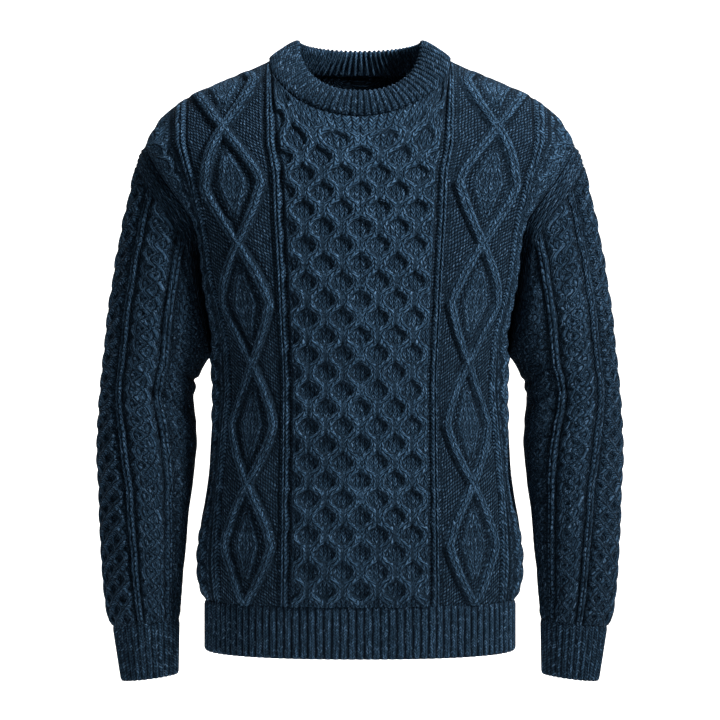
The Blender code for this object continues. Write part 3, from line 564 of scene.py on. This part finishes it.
VALLEY, VALLEY_WIDTH = 32 * MM, 17 * MM
# Painted shade: brightness of the ground, what a full cord adds, and how much the armhole fold darkens
GROUND_SHADE, CORD_SHADE, VALLEY_SHADE = 0.42, 0.58, 1.1


def armhole_valley(z, away):
    """How far back the cloth sinks at a distance from the armhole seam, on panel and sleeve alike."""
    return VALLEY * ramp(z, -0.105, -0.19) * ramp(z, -0.305, -0.27) * np.exp(-(away / VALLEY_WIDTH) ** 2)


def raised_shade(rise, z, away):
    """Painted shade mask, over the real relief: 1 on the cords, lower on the ground, and least in the fold
    at the armhole, which is also sunk for real.
    """
    valley = VALLEY_SHADE * armhole_valley(z, away) / VALLEY
    return GROUND_SHADE + CORD_SHADE * np.clip(rise, -0.5, 1) - valley


def mirror_grid(values):
    """The other half of a grid whose first column lies in the middle, put before it."""
    return np.concatenate((values[:, :0:-1], values), axis=1)


def panel(side):
    """Front or back: the half grid mirrored, lifted by the relief and pressed by the folds."""
    half, q, up = half_panel(side)
    half = half * (1, -1, 1)
    normal = grid_normals(half)
    # Along the middle, the side seam and the shoulder seam it is turned so that both sides meet
    normal[:, 0, 0] = 0
    normal[:LOWER_ROWS + 1, -1, 1] = 0
    shoulder = q >= INNER_RIDGE
    slope = np.gradient(half[-1, shoulder], axis=0)
    normal[-1, shoulder] = np.column_stack((-slope[:, 2], 0 * slope[:, 0], slope[:, 0]))
    normal = unit(normal)
    grid_q = np.broadcast_to(q, up.shape)
    top = up[-1:] if side == "front" else None
    relief, across, purl = body_relief(grid_q, up, top)
    level = np.arange(len(up))[:, None]
    # The cables flatten towards the upper edge and the hem seam, and most at the shoulder seam
    relief = relief * np.clip((len(up) - 1 - level) / 4, 0, 1) * (0.4 + 0.6 * ramp(level, 0, 5))
    relief = relief * (1 - 0.85 * ramp(level, len(up) - 18, len(up) - 4) * ramp(grid_q, 60 * MM, 90 * MM))
    away = PANEL_EDGE - grid_q
    seam = ramp(away, 0, 5 * MM)
    relief = relief * seam
    # At the waist the cloth sinks by 5 mm beside each side seam
    low, high = -530 * MM, -360 * MM
    trough = np.sin(np.pi * np.clip((half[..., 2] - low) / (high - low), 0, 1)) ** 2
    trough = 5 * MM * trough * np.exp(-((grid_q - 228 * MM) / (12 * MM)) ** 2)
    full, out = (np.concatenate((grid[:, :0:-1] * (-1, 1, 1), grid), axis=1) for grid in (half, normal))
    # Painted shade: the ground darker than the cords, and darkest in the fold at the armhole
    shade = raised_shade(relief / (0.6 * CABLE), half[..., 2], away)
    masks = [mirror_grid(grid) for grid in (across, up, shade, purl)]
    press = body_folds(full, side) * mirror_grid(seam) * ramp(-level, -len(up) + 1, -len(up) + 12)
    press = press - mirror_grid(trough)
    full = full + (0, 1, 0) * mirror_grid(armhole_valley(half[..., 2], away))[..., None]
    outer = full + out * (mirror_grid(relief) + press)[..., None]
    inner = full - out * (WALL - press)[..., None]
    for grid in (outer, inner):
        grid[:LOWER_ROWS + 1, (0, -1), 1] = -SEAM_GAP
        grid[-1, np.concatenate((shoulder[:0:-1], shoulder)), 1] = -SEAM_GAP
    if side == "back":
        outer, inner = outer * (1, -1, 1), inner * (1, -1, 1)
    return shell(side + "_knit", outer, inner, (4, 4), masks)


for side, other, length in (("front", "back", 0.640), ("back", "front", 0.670)):
    dress(panel(side), side)

# %% [markdown]
# ## Sleeves
# A sleeve is a tube between an outer and an inner outline. A point on it has a share of the length
# and an angle from the outer line. The lattice runs down the outer line; a double ridge, a braid and
# another double ridge lie on the front and again on the back, and a flatter braid on the inner side.
# Along the armhole runs a band of ribs, and the sleeve folds in deeply beside the body.

# %% Sleeve surface
OUTER_LENGTH = 560 * MM
ARC = 0.96 * MM  # of flat cloth for a degree round the upper sleeve
SEAM_REACH = 0.38  # share of the length over which the sleeve takes on the seam's curve
CREASE, CREASE_SHARE, CREASE_WIDTH = 10 * MM, 0.06, 0.034
CREASE_ANGLES = (50, 90, 135, 165)  # it deepens between the first two and dies out between the others


def arm_point(share, angle):
    """Ellipse between the outlines, which near the armhole bends towards the seam's own curve."""
    share, angle = np.broadcast_arrays(share, angle)
    theta = np.radians(angle)
    outer_z, inner_z, half_depth, forward = (
        read(ARM, name, share, key="share")
        for name in ("outer_height", "inner_height", "half_depth", "forward"))
    outer_x, inner_x = read(ARM_OUTER, "reach", outer_z), read(ARM_INNER, "reach", inner_z)
    across = np.cos(theta)
    x = (outer_x + inner_x) / 2 + (outer_x - inner_x) / 2 * across
    z = (outer_z + inner_z) / 2 + (outer_z - inner_z) / 2 * across
    upper, lower = ARM_OUTER["reach"][0], ARM_INNER["reach"][0]
    chord = (upper + lower) / 2 + (upper - lower) / 2 * across
    inset = read(BODY, "half_width", ARMHOLE_MIDDLE + ARMHOLE_REACH * across) - chord
    x = x + inset * np.clip(1 - share / SEAM_REACH, 0, 1) ** 2
    a = np.abs((angle + 180) % 360 - 180)
    crease = CREASE * np.exp(-((share - CREASE_SHARE) / CREASE_WIDTH) ** 2)
    crease = crease * np.clip(2 * share / CREASE_SHARE, 0, 1) * np.interp(a, CREASE_ANGLES, (0, 1, 1, 0))
    return np.stack((x, -(half_depth - crease) * np.sin(theta) - forward, z), axis=-1)


def lattice(across, along):
    """Crossing lines of a 29 mm by 24 mm net, as distances from the nearest line of each way."""
    layers, width, height, lean = [], 29 * MM, 24 * MM, 0.64
    for way in (1, -1):
        place = across / width + way * along / height
        distance = ((place + 0.5) % 1 - 0.5) * width * lean
        over = 1 + 0.15 * way
        layers.append((4.2 * MM * over * cord(distance, 4.7 * MM), distance, 0 * across))
    return highest(layers)


UPPER_ARM, UPPER_WIDTH = -310 * MM, 114 * MM  # above that height the columns count on that width
TURN_HEIGHTS = (-0.61, -0.55, -0.45, -0.375, -0.33)
TURN_DEGREES = (34, 28, 18, 6, 0)


def column_angle(points, angle):
    """Angle from the outer line of a point's column of stitches. Near the armhole the columns go
    straight up and the seam cuts them; towards the cuff they turn forward."""
    x, z = points[..., 0], points[..., 2]
    outer = read(ARM_OUTER, "reach", z)
    inner = np.where(z > UPPER_ARM, outer - UPPER_WIDTH, read(ARM_INNER, "reach", z))
    share = np.clip((2 * x - outer - inner) / (outer - inner), -1, 1)
    found = np.degrees(np.arccos(share)) * np.where(angle < 180, 1, -1)
    return np.abs((found - np.interp(z, TURN_HEIGHTS, TURN_DEGREES) + 180) % 360 - 180)


NET_EDGE = 42 * MM
BRAIDS = ((76 * MM, 54 * MM, 1), (128 * MM, 34 * MM, 0.6))  # middle, pitch and share of the height
SLEEVE_RIDGES = (51 * MM, 101 * MM)
BAND = 25 * MM  # of ribs along the armhole seam


def sleeve_relief(a, along, seam):
    """Height, distance across and purl at a column's angle, a length along the sleeve and a distance
    from the armhole seam."""
    across = a * ARC
    ground = (0 * across, across, np.ones(across.shape))
    net = lattice(across, along)
    net[0] = net[0] * (across < NET_EDGE)
    braids = [plait(across - middle, along, 3, 4.4 * MM * share, pitch, 10 * MM, lean=0.72, over=0.22)
              for middle, pitch, share in BRAIDS]
    height, cross, purl = with_ridges(highest([net, *braids, ground]), across, SLEEVE_RIDGES, 7.5 * MM)
    band = ramp(seam, BAND + 2 * MM, BAND - 1 * MM)
    ribs = (1.3 * MM * np.cos(np.pi * seam / STITCH) ** 2 + 1.2 * MM) * ramp(seam, 0, 3 * MM)
    cross = np.where(seam < BAND, seam, cross)
    height = height * (1 - band) + ribs * band
    return height, cross, purl * (1 - band)


def sleeve_folds(share, angle, turned):
    """Bells across the elbow and under the arm, moved a little on the other sleeve. A row holds a share
    of the length, an angle, a width as a share, a reach in degrees and a depth in millimetres."""
    folds = ((0.50, 128, 0.020, 38, -5.0), (0.545, 112, 0.016, 30, -3.5), (0.61, 135, 0.022, 34, -4.0),
             (0.40, 150, 0.022, 30, -3.5), (0.72, 120, 0.020, 34, -2.5), (0.86, 60, 0.018, 40, -2.0),
             (0.93, 110, 0.014, 50, -2.5), (0.30, 100, 0.020, 30, -2.5))
    total = 0 * share * angle
    for k, (s, a, width, reach, depth) in enumerate(folds):
        s, a = s + turned * 0.012 * (-1) ** k, a + turned * 9 * (-1) ** (k + 1)
        for middle in (a, 360 - a - 12):
            slant = share - s - 0.0006 * (angle - middle)
            total = total + depth * MM * np.exp(-(slant / width) ** 2 - ((angle - middle) / reach) ** 2)
    return total


def sleeve(side):
    """Left or right sleeve from the armhole seam to the cuff seam."""
    turned = side == "left"
    rows, count = 280, 216
    share = np.linspace(0, 1, rows + 1)[:, None]
    angle = (np.arange(count) * 360 / count)[None]
    points = arm_point(share, angle)
    normal = grid_normals(points, closed=True)
    seam = share * OUTER_LENGTH + 0 * angle
    a = column_angle(points, angle)
    relief, cross, purl = sleeve_relief(a, 1.03 * (SHOULDER_TIP - points[..., 2]), seam)
    fade = np.clip(share * rows / 3, 0, 1) * (0.35 + 0.65 * ramp(1 - share, 0, 0.012))
    below = ramp(np.abs((angle + 180) % 360 - 180), 120, 160)
    relief = relief * fade * (1 - below * ramp(share, 0.5, 0.38) * 0.8)
    press = sleeve_folds(share, angle, turned) * ramp(share, 0.08, 0.14) * ramp(1 - share, 0, 0.03)
    # Painted shade as on the panels; its dark band in the armhole fold is narrower here
    shade = raised_shade(relief / (0.5 * CABLE), points[..., 2], 1.6 * seam)
    valley = armhole_valley(points[..., 2], seam)
    points = points + (0, 1, 0) * (valley * ramp(np.abs(points[..., 1]), 0, 20 * MM)
                                   * -np.sign(points[..., 1]))[..., None]
    outer = points + normal * (relief + press)[..., None]
    inner = points - normal * (WALL - press)[..., None]
    real = length_along(points)
    masks = [cross, np.where(seam < BAND, angle * ARC, real), shade, purl]
    if turned:
        outer, inner = outer * (-1, 1, 1), inner * (-1, 1, 1)
    return shell("sleeve_" + side + "_knit", outer, inner, (4, 4), masks, closed=True)


for side in ("right", "left"):
    dress(sleeve(side), "sleeve_" + side)


# %% [markdown]
# ## Hem ribs and cuffs
# Ribbing is knit and purl columns in turn, and it draws in like a spring: each rib stands up as a
# rounded ridge between valleys, which are darkened with painted shade. The lower edge rolls in a little.

# %% Ribs
RIB, ROLL = 2.8 * MM, 1.5 * MM
HEM_RIBS, CUFF_RIBS = 50, 30
CUFF_LENGTH, CUFF_DEPTH, CUFF_EDGE = 66 * MM, 56 * MM, np.array((-677, -669)) * MM


def rib_wave(phase):
    """Rounded ridge and valley, whose darkness rib_shade paints: |cos| to the power 1.2, once for each whole
    number of phase.
    """
    return np.abs(np.cos(np.pi * phase)) ** 1.2


def rib_shade(wave):
    """Painted shade mask of ribbing: the purl columns in the valleys are drawn in, and shade is painted dark
    over them.
    """
    return np.clip(2.2 * wave - 1.2, -0.6, 1)


def ribbing(points, out, phase, t, low, wall):
    """Outer and inner points, and the painted shade mask, of ribs that sink in at the seam and at the edge.
    """
    wave = rib_wave(phase)
    roll = ROLL * np.clip((t - 0.93) / 0.07, 0, 1) ** 2
    relief = RIB * (wave - low) * ramp(t, 0, 0.10) - roll
    return points + out * relief[..., None], points - out * wall, rib_shade(wave) + 0 * t


def hem(side):
    """Fifty ribs on the hem section of a panel, from the seam down to the rolled edge."""
    flip = -1 if side == "front" else 1
    count = HEM_RIBS * 10 + 1
    q = np.linspace(-PANEL_EDGE, PANEL_EDGE, count)
    x = np.sign(q) * stitch_places(np.abs(q))[0]
    y = body_depth(np.abs(x), np.full(count, HEM_SEAM), side) * flip
    t = np.linspace(0, 1, 31)[:, None]
    z = HEM_SEAM + (HEM_EDGE - HEM_SEAM) * t + 0 * q
    points = np.stack(np.broadcast_arrays(x, y, z), axis=-1)
    out = grid_normals(points)
    out = out * np.sign(np.sum(out * points * (1, 1, 0), axis=-1, keepdims=True))
    phase = q / (2 * PANEL_EDGE) * HEM_RIBS
    outer, inner, shade = ribbing(points, out, phase, t, 0.3, WALL + 1.6 * MM)
    for grid in (outer, inner):
        grid[:, (0, -1), 1] = flip * SEAM_GAP
    masks = [2 * STITCH * phase + 0 * t, -z, shade, 0 * z]
    return shell("hem_rib_" + side + "_knit", outer, inner, (5, 5), masks)


def cuff(side):
    """Thirty ribs round a tube that narrows from the sleeve's end to the cuff's edge."""
    count = CUFF_RIBS * 12
    angle = np.arange(count) * 360 / count
    theta = np.radians(angle)
    edge_x = read(ARM_OUTER, "reach", CUFF_EDGE[0]), read(ARM_INNER, "reach", CUFF_EDGE[1])
    x, z = (sum(pair) / 2 + (pair[0] - pair[1]) / 2 * np.cos(theta) for pair in (edge_x, CUFF_EDGE))
    low = np.column_stack((x, -CUFF_DEPTH / 2 * np.sin(theta) - ARM["forward"][-1], z))
    t = np.linspace(0, 1, 31)[:, None]
    top = arm_point(1.0, angle)
    points = top + (low - top) * t[..., None]
    out = -grid_normals(points, closed=True)
    out = out * np.sign(np.sum(out * (points - points.mean(axis=1, keepdims=True)), axis=-1, keepdims=True))
    phase = angle / 360 * CUFF_RIBS
    outer, inner, shade = ribbing(points, out, phase, t, 0.6, WALL + 1.9 * MM)
    masks = [STITCH * phase + 0 * t, t * CUFF_LENGTH + 0 * angle, shade, 0 * shade]
    if side == "left":
        outer, inner = outer * (-1, 1, 1), inner * (-1, 1, 1)
    return shell("cuff_" + side + "_knit", outer, inner, (5, 4), masks, closed=True)


for side in ("front", "back"):
    dress(hem(side), "hem_rib_" + side)
for side in ("right", "left"):
    dress(cuff(side), "cuff_" + side)

# %% [markdown]
# ## Neckband
# The neckband is ribbing folded over to the outside and sewn down, which makes it thick and round. Its
# section is a narrow loop from the seam up, over the top and down the inside, and it is carried round
# the neck: deep in front, high at the sides and behind.

# %% Neckband
COLLAR_RIBS, COLLAR_RIB = 80, 2.7 * MM
COLLAR_HALF_WIDTH, COLLAR_SIDE = 72 * MM, 68 * MM
COLLAR_EDGE = {"front": (78 * MM, 2 * MM), "back": (58 * MM, 63 * MM)}
# Share of the way from the seam to the top edge, and millimetres outwards
SECTION = np.array(((0.00, 0.4), (0.05, 2.4), (0.16, 3.8), (0.36, 4.7), (0.56, 4.7), (0.76, 3.9),
                    (0.92, 2.4), (1.00, 0.0), (0.97, -1.9), (0.84, -3.6), (0.60, -4.6), (0.36, -4.8),
                    (0.14, -4.4), (0.00, -3.0)))


def neck_stations(turn):
    """Seam point and top-edge point of the neckband at turns from the front towards +X."""
    front_half = np.cos(turn) >= 0
    foot, top = np.empty((len(turn), 3)), np.empty((len(turn), 3))
    for side, here in (("front", front_half), ("back", ~front_half)):
        flip = -1 if side == "front" else 1
        x = NECK_CORNER * np.sin(turn[here])
        z = neckline(x, NECK_CORNER, side)
        along = np.abs(np.cos(turn[here]))
        depth, height = COLLAR_EDGE[side]
        foot[here] = np.column_stack((x, flip * body_depth(np.abs(x), z, side) * (along > 1e-6), z))
        top[here] = np.column_stack((COLLAR_HALF_WIDTH * np.sin(turn[here]), flip * depth * along,
                                     height + (COLLAR_SIDE - height) * (1 - along) ** 1.15))
    return foot, top


def neckband():
    """The section carried round the neck, each point moved out or in by the ribs."""
    count = COLLAR_RIBS * 12
    turn = np.arange(count) * 2 * np.pi / count
    foot, top = neck_stations(turn)
    rise = top - foot
    around = np.roll(foot, -1, axis=0) - np.roll(foot, 1, axis=0)
    out = unit(np.cross(around, rise))
    knots = np.linspace(0, 1, len(SECTION))
    t = np.linspace(0, 1, 43)
    climb, offset = smooth(t, knots, SECTION[:, 0]), smooth(t, knots, SECTION[:, 1] * MM)
    flatter = 1 - 0.45 * np.abs(np.sin(turn)) ** 6
    points = foot + rise * climb[:, None, None] + out * (offset[:, None] * flatter)[..., None]
    face = grid_normals(points, closed=True)
    face = face * np.sign(np.sum(face[10] * out, axis=-1, keepdims=True))
    wave = rib_wave(turn / (2 * np.pi) * COLLAR_RIBS)
    depth = np.interp(t, (0, 0.08, 0.45, 0.56, 0.66, 0.95, 1), (0.4, 1, 1, 0.75, 0.8, 0.8, 0))[:, None]
    outer = points + face * (COLLAR_RIB * depth * wave)[..., None]
    inner = foot + rise * climb[:, None, None] * 0.93 + out * (offset * 0.45)[:, None, None]
    real = length_along(points)
    # Painted shade: dark rib valleys on the outer half of the section, and an even 0.8 on the half that
    # turns inside
    masks = [turn / (2 * np.pi) * COLLAR_RIBS * STITCH + 0 * real, real,
             np.where(t[:, None] < 0.5, rib_shade(wave), 0.8), 0 * real]
    return shell("neckband_knit", outer, inner, (3, 6), masks, closed=True)


dress(neckband(), "neckband")

# %% [markdown]
# ## Wool
# The yarn is a dark blue heathered mix: fibres of navy, mid blue and a little pale blue grey, spun
# together. Up close each stitch is a small v, and purl stitches are short slanted dashes. They are
# too small to model, so a node group draws them as a height from the stitch coordinates of a piece,
# and a second group mixes the colours of the fibres and paints shade into them: darker in the gaps
# between stitches, and wherever the painted shade mask is low. Every wool uses both.

# %% Node helpers
def fill(tree, node, values):
    """Each named or numbered input of a node gets a link from a socket, or a constant."""
    for label, value in values.items():
        if isinstance(value, bpy.types.NodeSocket):
            tree.links.new(value, node.inputs[label])
        else:
            node.inputs[label].default_value = value


def add_node(tree, kind, values, **properties):
    """The outputs of a new shader node."""
    node = tree.nodes.new("ShaderNode" + kind)
    for label, value in properties.items():
        setattr(node, label, value)
    fill(tree, node, values)
    return node.outputs


def maths(tree, *operations):
    """A short call for each of some operations of the Math node, such as MULTIPLY."""
    return [lambda *inputs, kind=kind: add_node(tree, "Math", dict(enumerate(inputs)), operation=kind)[0]
            for kind in operations]


def new_group(name, inputs, outputs):
    """An empty node group, with the names of its sockets sorted by kind."""
    group = bpy.data.node_groups.new(name, "ShaderNodeTree")
    for way, sockets in (("INPUT", inputs), ("OUTPUT", outputs)):
        for kind, labels in sockets.items():
            for label in labels.split():
                group.interface.new_socket(label, in_out=way, socket_type="NodeSocket" + kind)
    return group, group.nodes.new("NodeGroupInput").outputs, group.nodes.new("NodeGroupOutput")


# %% Stitches
WANDER = 5 * MM  # how far the noise pushes the columns and rows of stitches about


def stitch_group():
    """Knit: (sin(pi * fract(v - 2 t)) * sin(pi * (0.3 + 1.4 t))) ** 0.6, where t is the distance from
    the middle of the column; purl: short slanted dashes in staggered columns. The Purl input mixes
    the two. Each leg of a stitch has its own random number, because heathered yarn changes colour along
    its way, and the Side input makes the numbers differ between left and right."""
    group, given, result = new_group(
        "stitches", {"Vector": "Place", "Float": "Purl Side Columns Rows"}, {"Float": "Height Leg"})
    add, times, times_add, absolute, fract, sine, floor, power = maths(
        group, "ADD", "MULTIPLY", "MULTIPLY_ADD", "ABSOLUTE", "FRACT", "SINE", "FLOOR", "POWER")
    noise = add_node(group, "TexNoise", {"Vector": given["Place"], "Scale": 70, "Detail": 1})
    split, drift = (add_node(group, "SeparateXYZ", {0: value}) for value in (given["Place"], noise["Color"]))
    across, along = (add(split[k], times(drift[k], WANDER)) for k in range(2))
    u, v = times(across, given["Columns"]), times(along, given["Rows"])
    t = absolute(add(fract(add(u, 0.5)), -0.5))
    lean = times_add(t, -2.0, v)
    leg = sine(times(fract(lean), np.pi))
    knit = power(times(leg, sine(times_add(t, 1.4 * np.pi, 0.3 * np.pi))), 0.6)
    wide = times(u, 1.5)
    within = fract(wide)
    stagger = times_add(floor(wide), 0.5, times_add(within, -0.8, times(v, 1.2)))
    dash = sine(times(fract(stagger), np.pi))
    purl = times(dash, power(sine(times(within, np.pi)), 0.7))
    height, row = (add_node(group, "Mix", {0: given["Purl"], 2: plain, 3: purled})[0]
                   for plain, purled in ((knit, purl), (lean, stagger)))
    one = add_node(group, "CombineXYZ", {0: floor(times(u, 2.0)), 1: floor(row), 2: given["Side"]})[0]
    chance = add_node(group, "TexWhiteNoise", {"Vector": one})["Value"]
    fill(group, result, {"Height": height, "Leg": chance})
    return group


# %% Heather and painted shade
def heather_and_shade_group():
    """Navy and mid blue change from leg to leg and in patches a yarn wide, flecked with pale fibres;
    painted shade makes it darker in the gaps between stitches and in the pits between cables."""
    group, given, result = new_group(
        "heather_and_shade", {"Vector": "Place", "Float": "Stitch Leg Raised", "Color": "Deep Main Fleck"},
        {"Color": "Color", "Float": "Fuzz"})
    times, times_add = maths(group, "MULTIPLY", "MULTIPLY_ADD")

    def noise(scale):
        return add_node(group, "TexNoise", {"Vector": given["Place"], "Scale": scale, "Detail": 2})[0]

    def blend(factor, a, b):
        return add_node(group, "Mix", {0: factor, 6: a, 7: b}, data_type="RGBA")[2]

    def stretch(value, low, high):
        return add_node(group, "MapRange", {0: value, 1: low, 2: high})[0]

    yarn, cloud, fibre = stretch(noise(420), 0.34, 0.66), stretch(noise(28), 0.3, 0.7), noise(800)
    heathered = times_add(given["Leg"], 0.55, times(yarn, 0.45))
    # Painted shade: darker in the gaps between stitches and where the painted shade mask is low
    light = times(stretch(given["Stitch"], 0.2, 0.85), times_add(heathered, 1.3, 0.15))
    light = times(light, times_add(given["Raised"], 0.55, 0.45))
    light = times(light, times_add(cloud, 0.25, 0.85))
    base = blend(light, given["Deep"], given["Main"])
    pale = times(stretch(heathered, 0.6, 0.95), stretch(given["Stitch"], 0.4, 0.9))
    fleck = times(pale, stretch(fibre, 0.4, 0.62))
    fill(group, result, {"Color": blend(fleck, base, given["Fleck"]), "Fuzz": fibre})
    return group


STITCHES, HEATHER_AND_SHADE = stitch_group(), heather_and_shade_group()


# %% Wools
def wool(name, main, rows, depth):
    """Matte wool: the heathered colours with painted shade, and the stitches' height, over a rough, slightly
    downy shader.
    """
    material = bpy.data.materials.new(name)
    material.use_nodes = True
    tree = material.node_tree
    sign, times_add = maths(tree, "SIGN", "MULTIPLY_ADD")
    place = add_node(tree, "TexCoord", {})["Object"]
    flat = add_node(tree, "UVMap", {}, uv_map="knit")[0]
    raised, purl = (add_node(tree, "Attribute", {}, attribute_name=mask)["Fac"]
                    for mask in ("raised", "purl"))
    side = sign(add_node(tree, "SeparateXYZ", {0: place})[0])
    stitch = add_node(tree, "Group", {"Place": flat, "Purl": purl, "Side": side, "Columns": 1 / STITCH,
                                      "Rows": rows}, node_tree=STITCHES)
    # The darkest colour stands for the darkest fibres and for painted shade
    colours = {"Deep": (*(c * 0.09 for c in main), 1), "Main": (*main, 1),
               "Fleck": (*(c * 2 + 0.045 for c in main), 1)}
    heather_and_shade = add_node(tree, "Group", {"Place": place, "Stitch": stitch["Height"], "Leg": stitch["Leg"],
                                       "Raised": raised, **colours}, node_tree=HEATHER_AND_SHADE)
    height = times_add(heather_and_shade["Fuzz"], 0.35, stitch["Height"])
    bump = add_node(tree, "Bump", {"Height": height, "Strength": 1.0, "Distance": depth})[0]
    fill(tree, tree.nodes["Principled BSDF"], {
        "Base Color": heather_and_shade["Color"], "Normal": bump, "Roughness": 0.9, "Specular IOR Level": 0.02,
        "Sheen Weight": 0.01, "Sheen Roughness": 0.6, "Sheen Tint": (0.45, 0.6, 0.8, 1)})
    return material


# The sleeve and rib wools are the panel's colour painted darker, as shade; the rib wool also has more rows
# and a shallower bump
PANEL_WOOL = wool("panel_wool", (0.035, 0.079, 0.137), 205, 2.4 * MM)
SHADED_SLEEVE_WOOL = wool("sleeve_wool", (0.024, 0.055, 0.096), 205, 2.4 * MM)
SHADED_RIB_WOOL = wool("rib_wool", (0.0315, 0.072, 0.126), 290, 1.2 * MM)
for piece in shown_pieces():
    if piece.name.startswith(("front", "back")):
        piece.data.materials.append(PANEL_WOOL)
    elif piece.name.startswith("sleeve"):
        piece.data.materials.append(SHADED_SLEEVE_WOOL)
    elif piece.name.endswith("_knit"):
        piece.data.materials.append(SHADED_RIB_WOOL)
print("wools:", [m.name for m in (PANEL_WOOL, SHADED_SLEEVE_WOOL, SHADED_RIB_WOOL)])

# %% [markdown]
# ## Studio
# The ground is white. One small lamp high on the right makes the cables stand out; a broad lamp hangs
# overhead and a weak one stands on the left. The floor curves up into the backdrop, which has a lamp
# of its own, so there is no line behind the sweater.

# %% Floor and backdrop
FLOOR, BEND_START, BEND = -0.95, 2.5, 1.5  # metres: height of the floor, start and radius of the bend


def paper():
    """A white sheet: flat under the garment, a quarter circle, then straight up."""
    flat = np.linspace(-4, BEND_START, 14)
    turn = np.linspace(0, np.pi / 2, 24)[1:]
    y = np.concatenate((flat, BEND_START + BEND * np.sin(turn), [BEND_START + BEND]))
    z = np.concatenate((0 * flat, BEND * (1 - np.cos(turn)), [6.0])) + FLOOR
    grid = np.stack(np.broadcast_arrays(np.linspace(-6, 6, 3), y[:, None], z[:, None]), axis=-1)
    ids = np.arange(len(y) * 3).reshape(-1, 3)
    mesh = smooth_mesh("studio_floor", grid.reshape(-1, 3), grid_faces(ids).tolist())
    white = bpy.data.materials.new("white_paper")
    white.use_nodes = True
    fill(white.node_tree, white.node_tree.nodes["Principled BSDF"], {
        "Base Color": (0.92, 0.92, 0.92, 1), "Roughness": 0.9,
        "Emission Color": (1, 1, 1, 1), "Emission Strength": 0.45})
    mesh.materials.append(white)
    add_object("studio_floor", mesh)


# %% Lamps
def lamp(name, at, aim, size, watts, spread=np.pi):
    """A square area lamp at a place, turned towards a point; a small spread makes a narrow beam."""
    light = bpy.data.lights.new(name, "AREA")
    light.size, light.energy, light.spread = size, watts, spread
    thing = add_object(name, light)
    thing.location = at
    way = np.array(aim, dtype=float) - np.array(at, dtype=float)
    thing.rotation_euler = (np.arctan2(np.hypot(way[0], way[1]), -way[2]), 0, np.arctan2(-way[0], way[1]))


paper()
lamp("key", (1.75, -1.4, 1.5), (0, 0, 0.1), 0.6, 28, spread=1.3)
lamp("fill", (-2.4, -2.2, 0.4), (0, 0, -0.3), 1.6, 4)
lamp("top", (0.2, -0.5, 2.4), (0, 0, -0.2), 1.6, 22)
lamp("backdrop_light", (0, 1.4, 2.6), (0, 3.8, -0.4), 2.6, 150)
world = bpy.data.worlds.new("studio")
world.use_nodes = True
fill(world.node_tree, world.node_tree.nodes["Background"], {"Color": (1, 1, 1, 1), "Strength": 0.05})
bpy.context.scene.world = world
bpy.context.scene.view_settings.view_transform = "Standard"
